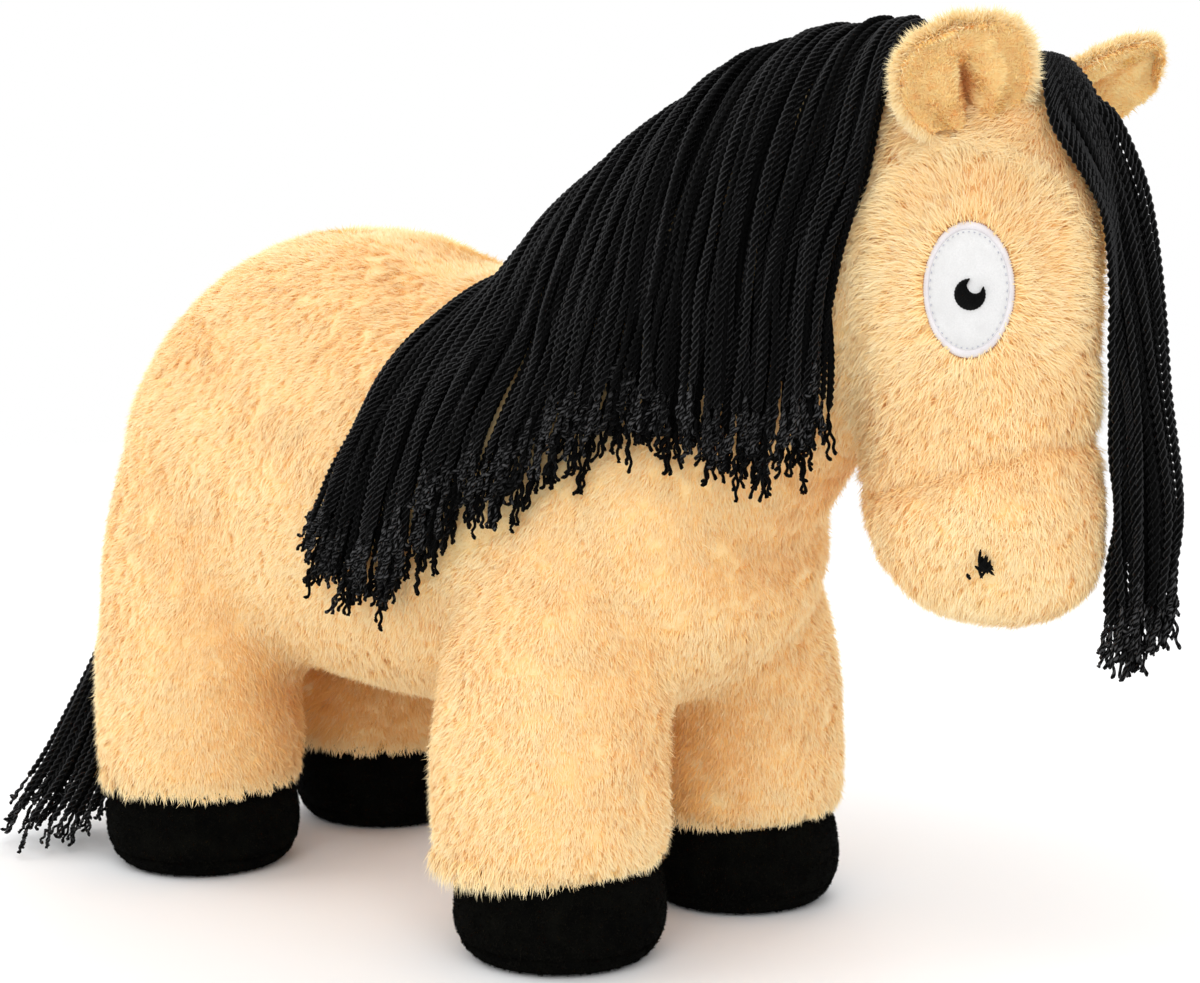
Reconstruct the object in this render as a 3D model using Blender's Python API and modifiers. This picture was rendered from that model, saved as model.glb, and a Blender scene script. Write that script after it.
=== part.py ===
"""A plush horse with stuffed body, head and legs, velour hooves and yarn hair.

Metres, +Z up, facing +X, right side at -Y, standing on the floor at z = 0.
The origin is on the floor under the middle of the whole toy's box.
"""

from math import cos, pi, radians, sin

import bmesh
import bpy
from mathutils import Matrix, Vector
from mathutils.bvhtree import BVHTree

# Cloth, stuffing and clearances
PLUSH = 0.006
VELOUR = 0.0025
FELT = 0.0012
EMBROIDERY = 0.0008
TAPE = 0.0016
SEAM_GAP = 0.0003
FILLING_GAP = 0.0009
OVERRUN = 0.002
WELD = 0.00005

# Where the middle of the four hooves stands
STANCE_X = -0.040
WHEELBASE = 0.175
TRACK = 0.092

# Hooves
HOOF_RADIUS = 0.0345
HOOF_HEIGHT = 0.030
SOLE_HEIGHT = 0.0065
SOLE_THICKNESS = 0.0024
FRONT_HOOF_LEAD = 0.006
HOOF_SIDE_SHARES = [(0.22, 0.955), (0.36, 0.99), (0.55, 1.0), (0.75, 0.985), (0.9, 0.955), (1.0, 0.925)]
SOLE_SIDE_SHARES = [(0.0, 0.83), (0.35, 0.915), (1.0, 0.955)]
HOOF_SEGMENTS = 22

# Legs: height and radius at each section
LEG_RADIUS = 0.037
LEG_OUTSET = 0.001
LEG_REACH = TRACK / 2 + LEG_RADIUS + LEG_OUTSET
HAUNCH_BULGE = 0.007
FRONT_LEG_TOP = 0.168
REAR_LEG_TOP = 0.190
LEG_SECTION_SHARES = [
    (0.0, 0.985), (0.1, 1.03), (0.3, 1.02), (0.5, 1.0), (0.68, 0.97), (0.83, 0.86), (0.94, 0.60), (1.0, 0.0),
]
LEG_BLEND_SHARES = (0.3, 0.83)
LEG_SIDES = 18
FOOT_ROOM_SHARE = 1.5
FOOT_WIDEST_SHARE = 0.75

# Torso
TORSO_LENGTH = 0.280
TORSO_WIDTH = 0.140
TORSO_HEIGHT = 0.160
TORSO_LEAD = 0.002
TORSO_MIDDLE_X = STANCE_X + TORSO_LEAD
TORSO_MIDDLE_Z = 0.1455
TORSO_ROUNDNESS = 2.8
TORSO_SQUARENESS = 2.15
TORSO_STATIONS = 16
TORSO_SIDES = 24
FILLING_SIDES = 14

# Neck: each section runs from the crest down to the throat
WITHERS_LEAD = 0.036
WITHERS_X = STANCE_X + WITHERS_LEAD
WITHERS_Z = 0.2235
CREST_LENGTH = 0.160
CREST_RISE = 0.0705
THROAT_LEAD = 0.090
THROAT_START_X = STANCE_X + THROAT_LEAD
THROAT_START_Z = 0.088
THROAT_LENGTH = 0.098
THROAT_RISE = 0.082
NECK_WIDTH = 0.116
NECK_SECTION_SHARES = [
    (0.0, -0.02, 0.0, 0.0, 0.92), (0.16, 0.26, 0.2, 0.08, 0.96), (0.34, 0.53, 0.38, 0.28, 0.93),
    (0.55, 0.80, 0.56, 0.56, 0.80), (0.76, 0.955, 0.74, 0.84, 0.66), (0.96, 1.0, 0.98, 1.0, 0.52),
]
NECK_SIDES = 22

# Head: height, depth, width and forward place of each section
CHIN_Z = 0.1215
HEAD_HEIGHT = 0.168
HEAD_DEPTH = 0.077
HEAD_WIDTH = 0.059
HEAD_LEAD = 0.213
HEAD_X = STANCE_X + HEAD_LEAD
HEAD_TILT = 8.0
HEAD_SQUARENESS = 2.2
MOUTH_SHARE = 0.265
HEAD_SECTION_SHARES = [
    (0.0, 0.0, 0.0, 0.09), (0.012, 0.40, 0.42, 0.09), (0.05, 0.72, 0.74, 0.085), (0.11, 0.92, 0.93, 0.08),
    (0.18, 1.0, 1.01, 0.075), (0.235, 0.985, 0.99, 0.06), (MOUTH_SHARE, 0.945, 0.96, 0.055),
    (0.30, 0.975, 0.985, 0.045), (0.38, 1.0, 1.01, 0.03), (0.5, 1.02, 1.03, 0.01), (0.62, 1.04, 1.05, 0.0),
    (0.74, 1.03, 1.04, 0.0), (0.84, 0.97, 0.97, 0.01), (0.92, 0.80, 0.80, 0.03), (0.97, 0.55, 0.55, 0.04),
    (0.992, 0.28, 0.28, 0.045), (1.0, 0.0, 0.0, 0.045),
]
HEAD_SIDES = 24

# Eyes and nostrils, on the head's sides
EYE_WIDTH = 0.028
EYE_HEIGHT = 0.0395
EYE_Z = 0.2215
EYE_LEAD = 0.019
EYE_X = HEAD_X + EYE_LEAD
EYE_TURN = 60.0
PUPIL_RADIUS = 0.0046
PUPIL_BITE_RADIUS = 0.0026
NOSTRIL_RADIUS = 0.0030
NOSTRIL_Z = 0.1385
NOSTRIL_LEAD = 0.021
NOSTRIL_X = HEAD_X + NOSTRIL_LEAD

# Ears
EAR_LENGTH = 0.034
EAR_WIDTH = 0.041
EAR_PLUSH = 0.004
EAR_LINING = 0.0015
EAR_CUP = 0.009
EAR_CREASE = 0.003
EAR_CREASE_NARROWNESS = 2.4
EAR_SEAT_GAP = 0.0008
EAR_LOCK_GAP = 0.0015
RIGHT_EAR_LEAD = 0.012
RIGHT_EAR_X = HEAD_X + RIGHT_EAR_LEAD
RIGHT_EAR_SPREAD = 0.0195
LEFT_EAR_LEAD = 0.005
LEFT_EAR_X = HEAD_X + LEFT_EAR_LEAD
LEFT_EAR_SPREAD = 0.0240
RIGHT_EAR_ALONG_SHARES = (0.22, -0.58, 0.76)
RIGHT_EAR_FACING_SHARES = (0.66, -0.60, -0.50)
LEFT_EAR_ALONG_SHARES = (0.62, 0.68, 0.36)
LEFT_EAR_FACING_SHARES = (0.62, -0.18, -0.76)
EAR_WIDTH_SHARES = [0.56, 0.80, 0.95, 1.0, 0.93, 0.72, 0.42]

# Mane, laid over the neck's right side
MANE_THICKNESS = 0.007
MANE_CLEARANCE = 0.0014
MANE_REAR_LEAD = 0.044
MANE_REAR_X = STANCE_X + MANE_REAR_LEAD
MANE_LENGTH = 0.146
MANE_SWEEP = 0.036
MANE_HEM_Z = 0.113
MANE_HEM_RISE = 0.062
MANE_HEM_SHARES = [0.16, 0.02, 0.0, 0.16, 0.34, 0.44, 0.72, 0.90, 0.92, 0.86, 0.76, 0.80, 1.0]
MANE_THICKNESS_SHARES = [0.45, 0.75, 0.95, 1.0, 1.0, 1.0, 1.0, 1.0, 0.95, 0.85, 0.65]
MANE_TAPE_WIDTH = 0.009
MANE_TAPE_LENGTH = 0.132
MANE_ROOT_TURN = -5.5
MANE_HINGE_Y = 0.006
MANE_HINGE_RISE = 0.004

# Forelock, from between the ears over the left of the face
FORELOCK_WIDTH = 0.024
FORELOCK_THICKNESS = 0.015
FORELOCK_LENGTH = 0.188
FORELOCK_LEAD = 0.019
FORELOCK_X = HEAD_X + FORELOCK_LEAD
FORELOCK_Y = 0.001
FORELOCK_TURN = 41.0
FORELOCK_PATH_SHARES = [
    (0.0, 0.0, 0.0), (0.045, 0.02, -0.02), (0.085, 0.058, -0.112), (0.105, 0.082, -0.23), (0.116, 0.10, -0.38),
    (0.126, 0.118, -0.537), (0.130, 0.126, -0.72), (0.130, 0.126, -0.884), (0.128, 0.126, -1.0),
]
FORELOCK_WIDTH_SHARES = [0.50, 0.60, 0.78, 0.94, 1.0, 1.0, 1.0, 0.96, 0.78]
FORELOCK_THICKNESS_SHARES = [0.36, 0.44, 0.50, 0.66, 0.9, 1.0, 1.0, 0.96, 0.78]
FORELOCK_SIDES = 14

# Tail, from the dock to the floor
TAIL_RADIUS = 0.025
TAIL_DOCK_Z = 0.166
TAIL_FLOOR_GAP = 0.0015
TAIL_PATH_SHARES = [
    (0.0, 0.0, 0.0), (-0.04, -0.006, -0.002), (-0.072, -0.025, -0.09), (-0.075, -0.07, -0.34),
    (-0.08, -0.15, -0.60), (-0.10, -0.25, -0.83), (-0.135, -0.33, -1.0),
]
TAIL_SIZE_SHARES = [0.28, 0.42, 0.54, 0.60, 0.68, 0.86, 1.06]
TAIL_SIDES = 14

COLOURS = {
    "plush": ((0.91, 0.63, 0.30), 0.95), "velour": ((0.012, 0.011, 0.011), 0.9),
    "yarn": ((0.010, 0.010, 0.011), 0.8), "felt": ((0.86, 0.86, 0.84), 0.9),
    "thread": ((0.01, 0.01, 0.01), 0.6), "lining": ((0.86, 0.50, 0.20), 0.85),
    "tape": ((0.02, 0.02, 0.02), 0.8), "stuffing": ((0.85, 0.85, 0.83), 1.0),
}

SIDES = {"right": -1, "left": 1}


def clear_scene():
    for old in list(bpy.data.objects):
        bpy.data.objects.remove(old, do_unlink=True)


def new_collection(name):
    group = bpy.data.collections.new(name)
    bpy.context.scene.collection.children.link(group)
    return group


def paint(obj, kind):
    """Give a piece its own material of one of the named kinds."""
    colour, rough = COLOURS[kind]
    mat = bpy.data.materials.new(obj.name + "_" + kind)
    mat.use_nodes = True
    shader = mat.node_tree.nodes["Principled BSDF"]
    shader.inputs["Base Color"].default_value = (*colour, 1.0)
    shader.inputs["Roughness"].default_value = rough
    obj.data.materials.clear()
    obj.data.materials.append(mat)


def mesh_object(name, verts, faces, group):
    mesh = bpy.data.meshes.new(name)
    mesh.from_pydata([tuple(v) for v in verts], [], faces)
    work = bmesh.new()
    work.from_mesh(mesh)
    bmesh.ops.recalc_face_normals(work, faces=work.faces)
    work.to_mesh(mesh)
    work.free()
    mesh.shade_smooth()
    obj = bpy.data.objects.new(name, mesh)
    group.objects.link(obj)
    return obj


def loft(name, rings, group, loop=False):
    """Skin over a list of point rings; a ring of one point is a pole, and a loop joins the last to the first."""
    verts = []
    starts = []
    for ring in rings:
        starts.append(len(verts))
        verts.extend(ring)
    faces = []
    for i in range(len(rings) if loop else len(rings) - 1):
        beyond = (i + 1) % len(rings)
        a, b = starts[i], starts[beyond]
        na, nb = len(rings[i]), len(rings[beyond])
        count = max(na, nb)
        for k in range(count):
            after = (k + 1) % count
            if na == 1:
                faces.append((a, b + k, b + after))
            elif nb == 1:
                faces.append((a + k, b, a + after))
            else:
                faces.append((a + k, b + k, b + after, a + after))
    for i in () if loop else (0, -1):
        if len(rings[i]) > 1:
            faces.append(tuple(range(starts[i], starts[i] + len(rings[i]))))
    return mesh_object(name, verts, faces, group)


def bag(name, outer, inner, group):
    """A skin with walls, closed at its outer and inner poles and open where its last rings lie."""
    return loft(name, outer + list(reversed(inner)), group)


def oval(centre, axis_a, axis_b, half_a, half_b, sides, power=2.0):
    """A ring of points on a superellipse, or its centre alone where it has no size."""
    if half_a <= 0 or half_b <= 0:
        return [centre]
    ring = []
    for k in range(sides):
        turn = 2 * pi * k / sides
        c, s = cos(turn), sin(turn)
        a = abs(c) ** (2 / power) * (1 if c >= 0 else -1)
        b = abs(s) ** (2 / power) * (1 if s >= 0 else -1)
        ring.append(centre + axis_a * (half_a * a) + axis_b * (half_b * b))
    return ring


def cut(obj, cutter):
    boolean = obj.modifiers.new("Cut", "BOOLEAN")
    boolean.operation = "DIFFERENCE"
    boolean.solver = "EXACT"
    boolean.object = cutter


def pivot_at(obj, place):
    """Move a piece's origin to a place on its joint's axis without moving the piece."""
    obj.data.transform(Matrix.Translation(-place))
    obj.location = place


def as_guide(obj):
    obj.hide_render = True
    obj.display_type = "WIRE"
    return obj


X_AXIS = Vector((1, 0, 0))
Y_AXIS = Vector((0, 1, 0))
Z_AXIS = Vector((0, 0, 1))


def torso_rings(grow, stations=TORSO_STATIONS, sides=TORSO_SIDES):
    """The barrel, a superellipse along its length with rounded rump and chest."""
    rings = []
    for i in range(stations + 1):
        along = -cos(pi * i / stations)
        size = max(0.0, 1 - abs(along) ** TORSO_ROUNDNESS) ** (1 / TORSO_ROUNDNESS)
        centre = Vector((TORSO_MIDDLE_X + (TORSO_LENGTH / 2 + grow) * along, 0, TORSO_MIDDLE_Z))
        if i in (0, stations):
            size = 0
        half_y = (TORSO_WIDTH / 2 + grow) * size
        half_z = (TORSO_HEIGHT / 2 + grow) * size
        rings.append(oval(centre, Y_AXIS, Z_AXIS, half_y, half_z, sides, TORSO_SQUARENESS))
    return rings


def neck_rings(grow, past=0.0):
    """Sections between the crest line and the throat line, the last one carried past its place."""
    rings = []
    for crest_along, crest_up, throat_along, throat_up, width in NECK_SECTION_SHARES:
        crest = Vector((WITHERS_X + CREST_LENGTH * crest_along, 0, WITHERS_Z + CREST_RISE * crest_up))
        throat = Vector((
            THROAT_START_X + THROAT_LENGTH * throat_along, 0, THROAT_START_Z + THROAT_RISE * throat_up,
        ))
        half_up = (crest - throat).length / 2 + grow
        axis_up = (crest - throat).normalized()
        rings.append(oval((crest + throat) / 2, axis_up, Y_AXIS, half_up, NECK_WIDTH / 2 * width + grow, NECK_SIDES))
    rings[-1] = [p + X_AXIS * past for p in rings[-1]]
    return rings


def head_rings(grow, low=0.0, high=1.0, mouth_gap=0.0, sides=HEAD_SIDES):
    """Head sections from one share of its height to another."""
    rings = []
    for height, depth, width, forward in HEAD_SECTION_SHARES:
        if not low <= height <= high:
            continue
        tilt = radians(HEAD_TILT) * sin(pi * height)
        axis = Vector((cos(tilt), 0, sin(tilt)))
        z = CHIN_Z - grow + (HEAD_HEIGHT + grow * 2) * height
        if height == MOUTH_SHARE:
            z += mouth_gap
        centre = Vector((HEAD_X + HEAD_DEPTH * forward, 0, z))
        half_x = HEAD_DEPTH / 2 * depth + (grow if depth else 0)
        half_y = HEAD_WIDTH / 2 * width + (grow if depth else 0)
        rings.append(oval(centre, axis, Y_AXIS, half_x, half_y, sides, HEAD_SQUARENESS))
    return rings


def leg_place(end, side):
    """Middle of a hoof on the floor, for the front (+1) or rear (-1) and the left (+1) or right (-1)."""
    return Vector((STANCE_X + end * WHEELBASE / 2, side * TRACK / 2, 0))


def torso_side(x, z):
    """Half the torso's width at a place along it and a height."""
    along = abs(x - TORSO_MIDDLE_X) * 2 / TORSO_LENGTH
    size = max(0.0, 1 - along ** TORSO_ROUNDNESS) ** (1 / TORSO_ROUNDNESS)
    up = abs(z - TORSO_MIDDLE_Z) * 2 / (TORSO_HEIGHT * size)
    return TORSO_WIDTH / 2 * size * max(0.0, 1 - up ** TORSO_SQUARENESS) ** (1 / TORSO_SQUARENESS)


def leg_reach(x, z, height):
    """How far out a leg's outer face lies, wide low down and easing into the torso's side."""
    side = torso_side(x, max(z, TORSO_MIDDLE_Z)) + HAUNCH_BULGE * (1 - height * height * 2)
    low, high = LEG_BLEND_SHARES
    share = min(1.0, max(0.0, (height - low) / (high - low)))
    return LEG_REACH + (side - LEG_REACH) * share * share * (3 - share * 2)


def leg_rings(end, side, grow, sides=LEG_SIDES):
    """A leg from its hem up to its rounded top, which lies in the torso's side."""
    hoof = leg_place(end, side)
    hem = HOOF_HEIGHT + SEAM_GAP
    top = FRONT_LEG_TOP if end > 0 else REAR_LEG_TOP
    middle_x = hoof.x - (FRONT_HOOF_LEAD if end > 0 else 0)
    rings = []
    for height, radius in LEG_SECTION_SHARES:
        half = LEG_RADIUS * radius
        z = hem + (top - hem) * height
        out = leg_reach(middle_x, z, height) - half if height else TRACK / 2
        centre = Vector((middle_x, side * out, z))
        if radius == 0:
            rings.append([centre + Z_AXIS * grow])
            continue
        rings.append(oval(centre, X_AXIS, Y_AXIS, half + grow, half + grow, sides))
    return rings


def hoof_radius(height):
    """Outer radius of the hoof at a height, from its side's shares."""
    share = height / HOOF_HEIGHT
    for (h0, r0), (h1, r1) in zip(HOOF_SIDE_SHARES, HOOF_SIDE_SHARES[1:]):
        if share <= h1:
            t = max(0.0, (share - h0) / (h1 - h0))
            return HOOF_RADIUS * (r0 + (r1 - r0) * t)
    return HOOF_RADIUS * HOOF_SIDE_SHARES[-1][1]


def turned(name, profile, place, group):
    """A profile turned about the upright line through a place on the floor."""
    mesh = bpy.data.meshes.new(name)
    mesh.from_pydata([(r, 0, z) for r, z in profile], [(i, i + 1) for i in range(len(profile) - 1)], [])
    obj = bpy.data.objects.new(name, mesh)
    group.objects.link(obj)
    obj.location = place
    screw = obj.modifiers.new("Turn", "SCREW")
    screw.steps = HOOF_SEGMENTS
    screw.render_steps = HOOF_SEGMENTS
    screw.use_merge_vertices = True
    screw.merge_threshold = WELD
    screw.use_normal_calculate = True
    screw.use_smooth_shade = True
    return obj


def make_hoof(name, place, group):
    """The velour side band and the dished sole under it."""
    side_top_down = [(HOOF_RADIUS * r, HOOF_HEIGHT * h) for h, r in reversed(HOOF_SIDE_SHARES)]
    band_low = SOLE_HEIGHT + SEAM_GAP
    side_top_down[-1] = (side_top_down[-1][0], band_low)
    inner = [(r - VELOUR, z) for r, z in reversed(side_top_down)]
    band = turned(name + "_hoof_cover", side_top_down + inner + side_top_down[:1], place, group)
    paint(band, "velour")
    rim_up = [(HOOF_RADIUS * r, SOLE_HEIGHT * h) for h, r in SOLE_SIDE_SHARES]
    outside = [(r, z) for r, z in reversed(rim_up)] + [(0, 0)]
    inside = [(0, SOLE_THICKNESS), (rim_up[0][0] - VELOUR, SOLE_THICKNESS), (rim_up[-1][0] - VELOUR, SOLE_HEIGHT)]
    sole = turned(name + "_hoof_sole", outside + inside + outside[:1], place, group)
    paint(sole, "velour")


def make_leg(name, end, side, torso_cutter, group):
    """Plush tube, open at the hoof and towards the torso, and its stuffing."""
    cover = bag(
        name + "_leg_cover", leg_rings(end, side, 0)[::-1], leg_rings(end, side, -PLUSH)[::-1], group,
    )
    cut(cover, torso_cutter)
    paint(cover, "plush")
    hoof = leg_place(end, side)
    outer = leg_rings(end, side, -PLUSH - FILLING_GAP, FILLING_SIDES)
    first = sum(outer[0], Vector()) / len(outer[0])
    neck = (first + hoof) / 2
    room = VELOUR + FILLING_GAP
    foot_room = room * FOOT_ROOM_SHARE
    low = SOLE_THICKNESS + SEAM_GAP
    rings = []
    for z, middle, radius in (
        (low, hoof, HOOF_RADIUS * SOLE_SIDE_SHARES[0][1] - room * 2),
        (SOLE_HEIGHT + room, hoof, hoof_radius(SOLE_HEIGHT) - foot_room),
        (HOOF_HEIGHT * FOOT_WIDEST_SHARE, hoof, hoof_radius(HOOF_HEIGHT) - foot_room),
        (HOOF_HEIGHT, neck, hoof_radius(HOOF_HEIGHT) - foot_room - FRONT_HOOF_LEAD),
        (HOOF_HEIGHT + PLUSH, Vector((first.x, first.y, 0)), LEG_RADIUS * LEG_SECTION_SHARES[0][1] - PLUSH - room),
    ):
        rings.append(oval(Vector((middle.x, middle.y, z)), X_AXIS, Y_AXIS, radius, radius, FILLING_SIDES))
    filling = loft(name + "_leg_filling", rings + outer[2:], group)
    cut(filling, torso_cutter)
    paint(filling, "stuffing")


def disc_on(name, bvh, centre, facing, half_across, half_up, lift, thickness, group, bands=3, steps=22):
    """An oval of cloth laid on a surface, seen straight on along its facing direction."""
    across = Z_AXIS.cross(facing).normalized()
    up = facing.cross(across).normalized()
    verts = []
    for band in range(bands + 1):
        for k in range(steps if band else 1):
            turn = 2 * pi * k / steps
            share = band / bands
            flat = centre + across * (half_across * share * cos(turn)) + up * (half_up * share * sin(turn))
            hit = bvh.ray_cast(flat + facing * HEAD_DEPTH, -facing)[0]
            verts.append(hit + facing * lift)
    faces = [(0, 1 + k, 1 + (k + 1) % steps) for k in range(steps)]
    for band in range(1, bands):
        a, b = 1 + (band - 1) * steps, 1 + band * steps
        faces += [(a + k, b + k, b + (k + 1) % steps, a + (k + 1) % steps) for k in range(steps)]
    top = len(verts)
    faces_all = [tuple(reversed(f)) for f in faces]
    faces_all += [tuple(top + i for i in f) for f in faces]
    rim = top - steps
    faces_all += [(rim + k, rim + (k + 1) % steps, top + rim + (k + 1) % steps, top + rim + k) for k in range(steps)]
    return mesh_object(name, verts + [v + facing * thickness for v in verts], faces_all, group)


def make_face(side_name, side, bvh, group, guides):
    """Felt eye with its embroidered pupil, and the nostril."""
    turn = radians(EYE_TURN)
    facing = Vector((cos(turn), side * sin(turn), 0))
    hit = bvh.ray_cast(Vector((EYE_X, side * HEAD_WIDTH, EYE_Z)), -Y_AXIS * side)[0]
    patch = disc_on(
        side_name + "_eye_patch", bvh, hit, facing, EYE_WIDTH / 2, EYE_HEIGHT / 2, SEAM_GAP * 2, FELT, group,
    )
    paint(patch, "felt")
    pupil = disc_on(
        side_name + "_eye_pupil", bvh, hit, facing, PUPIL_RADIUS, PUPIL_RADIUS,
        SEAM_GAP * 3 + FELT, EMBROIDERY, group, bands=2, steps=18,
    )
    paint(pupil, "thread")
    across = Z_AXIS.cross(facing).normalized()
    bite_at = hit + across * (PUPIL_BITE_RADIUS / 2) + Z_AXIS * (PUPIL_RADIUS - PUPIL_BITE_RADIUS / 2)
    bite = disc_on(
        side_name + "_pupil_bite", bvh, bite_at, facing, PUPIL_BITE_RADIUS, PUPIL_BITE_RADIUS,
        SEAM_GAP, FELT + EMBROIDERY + OVERRUN, guides, bands=1, steps=14,
    )
    cut(pupil, as_guide(bite))
    spot = bvh.ray_cast(Vector((NOSTRIL_X, side * HEAD_WIDTH, NOSTRIL_Z)), -Y_AXIS * side)[0]
    nostril = disc_on(
        side_name + "_nostril", bvh, spot, facing, NOSTRIL_RADIUS, NOSTRIL_RADIUS, SEAM_GAP, EMBROIDERY,
        group, bands=1, steps=14,
    )
    paint(nostril, "thread")


def make_ear(side_name, place, along, facing, bvh, cutters, group):
    """A cupped leaf of plush with a thinner lining on its inner face."""
    along = Vector(along).normalized()
    facing = (Vector(facing) - along * Vector(facing).dot(along)).normalized()
    across = along.cross(facing)
    seat = bvh.ray_cast(Vector((*place, CHIN_Z + HEAD_HEIGHT * 2)), -Z_AXIS)[0]
    across_shares = [-1, -0.7, -0.4, -0.14, 0, 0.14, 0.4, 0.7, 1]
    rows = len(EAR_WIDTH_SHARES)

    def sheet(inset, lift):
        points = []
        for i, width in enumerate(EAR_WIDTH_SHARES):
            far = -OVERRUN + (EAR_LENGTH - inset + OVERRUN) * i / (rows - 1)
            for share in across_shares:
                half = (EAR_WIDTH / 2 - inset) * width
                rise = EAR_CUP * share * share * (1 - i / (2 * rows))
                crease = EAR_CREASE * max(0.0, 1 - abs(share) * EAR_CREASE_NARROWNESS) * (1 - i / rows)
                points.append(seat + along * far + across * (half * share) + facing * (rise - crease + lift))
        return points

    def leaf(name, inset, low, high, kind):
        back, front = sheet(inset, low), sheet(inset, high)
        columns = len(across_shares)
        count = len(back)
        faces = []
        for i in range(rows - 1):
            for k in range(columns - 1):
                a = i * columns + k
                faces.append((a, a + 1, a + columns + 1, a + columns))
                faces.append((count + a, count + a + columns, count + a + columns + 1, count + a + 1))
        edge = list(range(columns)) + [columns * (i + 1) - 1 for i in range(1, rows)]
        edge += list(range(count - 2, count - columns - 1, -1)) + [columns * i for i in range(rows - 2, 0, -1)]
        for k, here in enumerate(edge):
            after = edge[(k + 1) % len(edge)]
            faces.append((here, after, count + after, count + here))
        piece = mesh_object(name, back + front, faces, group)
        pivot_at(piece, seat - facing * EAR_CREASE)
        for cutter in cutters:
            cut(piece, cutter)
        paint(piece, kind)

    leaf(side_name + "_ear_back", 0, 0, EAR_PLUSH, "plush")
    lining_low = EAR_PLUSH + SEAM_GAP
    leaf(side_name + "_ear_lining", EAR_LINING, lining_low, lining_low + EAR_LINING, "lining")


def bvh_of(objects):
    verts, faces = [], []
    for obj in objects:
        start = len(verts)
        verts += [v.co.copy() for v in obj.data.vertices]
        faces += [tuple(start + i for i in p.vertices) for p in obj.data.polygons]
    return BVHTree.FromPolygons(verts, faces)


def crest_height(bvh, x):
    return bvh.ray_cast(Vector((x, 0, WITHERS_Z * 2)), -Z_AXIS)[0].z


def drape_point(bvh, x, turn, z, crest_z, lift):
    """A point on the body's right side, lifted off it: turned about the neck's core, or below it at a height."""
    out = Vector((0, -sin(turn), cos(turn)))
    start = Vector((x, 0, min(z, crest_z - NECK_WIDTH / 2)))
    hit = bvh.ray_cast(start + out * TORSO_LENGTH, -out, TORSO_LENGTH)[0]
    return hit + out * lift if hit else start


def mane_strand(bvh, share):
    """Heights and places down one strand of the mane's under side, and the way out at each."""
    root_x = MANE_REAR_X + MANE_LENGTH * share
    hem_x = root_x - MANE_SWEEP * (1 - share)
    at = share * (len(MANE_HEM_SHARES) - 1)
    low = min(int(at), len(MANE_HEM_SHARES) - 2)
    hem_share = MANE_HEM_SHARES[low] + (MANE_HEM_SHARES[low + 1] - MANE_HEM_SHARES[low]) * (at - low)
    hem_z = MANE_HEM_Z + MANE_HEM_RISE * hem_share
    crest_z = crest_height(bvh, root_x)
    middle_z = crest_z - NECK_WIDTH / 2
    rows = len(MANE_THICKNESS_SHARES)
    turning = rows // 2
    start = radians(MANE_ROOT_TURN)
    under, over = [], []
    reach = 0.0
    for i, thick in enumerate(MANE_THICKNESS_SHARES):
        x = root_x + (hem_x - root_x) * i / (rows - 1)
        if i < turning:
            turn = start + (pi / 2 - start) * i / turning
            z = middle_z + (crest_z - middle_z) * cos(turn)
        else:
            turn = pi / 2
            z = middle_z + (hem_z - middle_z) * (i - turning) / (rows - 1 - turning)
        local_crest = crest_height(bvh, x) if z > middle_z else crest_z
        lift = MANE_CLEARANCE + (TAPE + SEAM_GAP * 3) * max(0.0, 1 - i / 3)
        low_point = drape_point(bvh, x, turn, min(z, local_crest), local_crest, lift)
        reach = min(reach, low_point.y)
        if turn >= pi / 2:
            low_point.y = reach
        out = Vector((0, -sin(turn), cos(turn)))
        under.append(low_point)
        over.append(low_point + out * (MANE_THICKNESS * thick))
    return under, over


def make_mane(bvh, cutters, group, guides):
    """The yarn laid over the right of the neck as one curved slab."""
    columns = 14
    strands = [mane_strand(bvh, k / (columns - 1)) for k in range(columns)]
    for _ in range(2):
        for k in range(1, columns - 1):
            for i in range(len(MANE_THICKNESS_SHARES) // 2, len(MANE_THICKNESS_SHARES)):
                beside = min(strands[k - 1][0][i].y, strands[k + 1][0][i].y)
                shift = min(0.0, (beside - strands[k][0][i].y) / 2)
                strands[k][0][i].y += shift
                strands[k][1][i].y += shift
    rows = len(MANE_THICKNESS_SHARES)
    rings = [list(under) + list(reversed(over)) for under, over in strands]
    verts = [p for ring in rings for p in ring]
    size = rows * 2
    faces = []
    for k in range(columns - 1):
        a, b = k * size, (k + 1) * size
        faces += [(a + i, a + (i + 1) % size, b + (i + 1) % size, b + i) for i in range(size)]
    for base in (0, (columns - 1) * size):
        faces += [(base + i, base + i + 1, base + size - 2 - i, base + size - 1 - i) for i in range(rows - 1)]
    mane = mesh_object("mane", verts, faces, group)
    hinge_x = MANE_REAR_X + MANE_LENGTH / 2
    pivot_at(mane, Vector((hinge_x, MANE_HINGE_Y, crest_height(bvh, hinge_x) + MANE_HINGE_RISE)))
    paint(mane, "yarn")
    stations = 24

    def tape_rows(margin):
        half = MANE_TAPE_WIDTH / 2 + margin
        start, length = MANE_REAR_X - margin, MANE_TAPE_LENGTH + margin * 2
        return [[
            bvh.ray_cast(Vector((start + length * k / stations, y, WITHERS_Z * 2)), -Z_AXIS)[0] + Z_AXIS * SEAM_GAP * 2
            for y in (-half, 0, half)
        ] for k in range(stations + 1)]

    tape = make_strip("mane_tape", tape_rows(0), TAPE, group)
    cut(tape, cutters[0])
    paint(tape, "tape")
    cut(mane, as_guide(make_strip("mane_tape_room", tape_rows(SEAM_GAP * 2), TAPE + SEAM_GAP * 2, guides)))
    for cutter in cutters:
        cut(mane, cutter)


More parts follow.
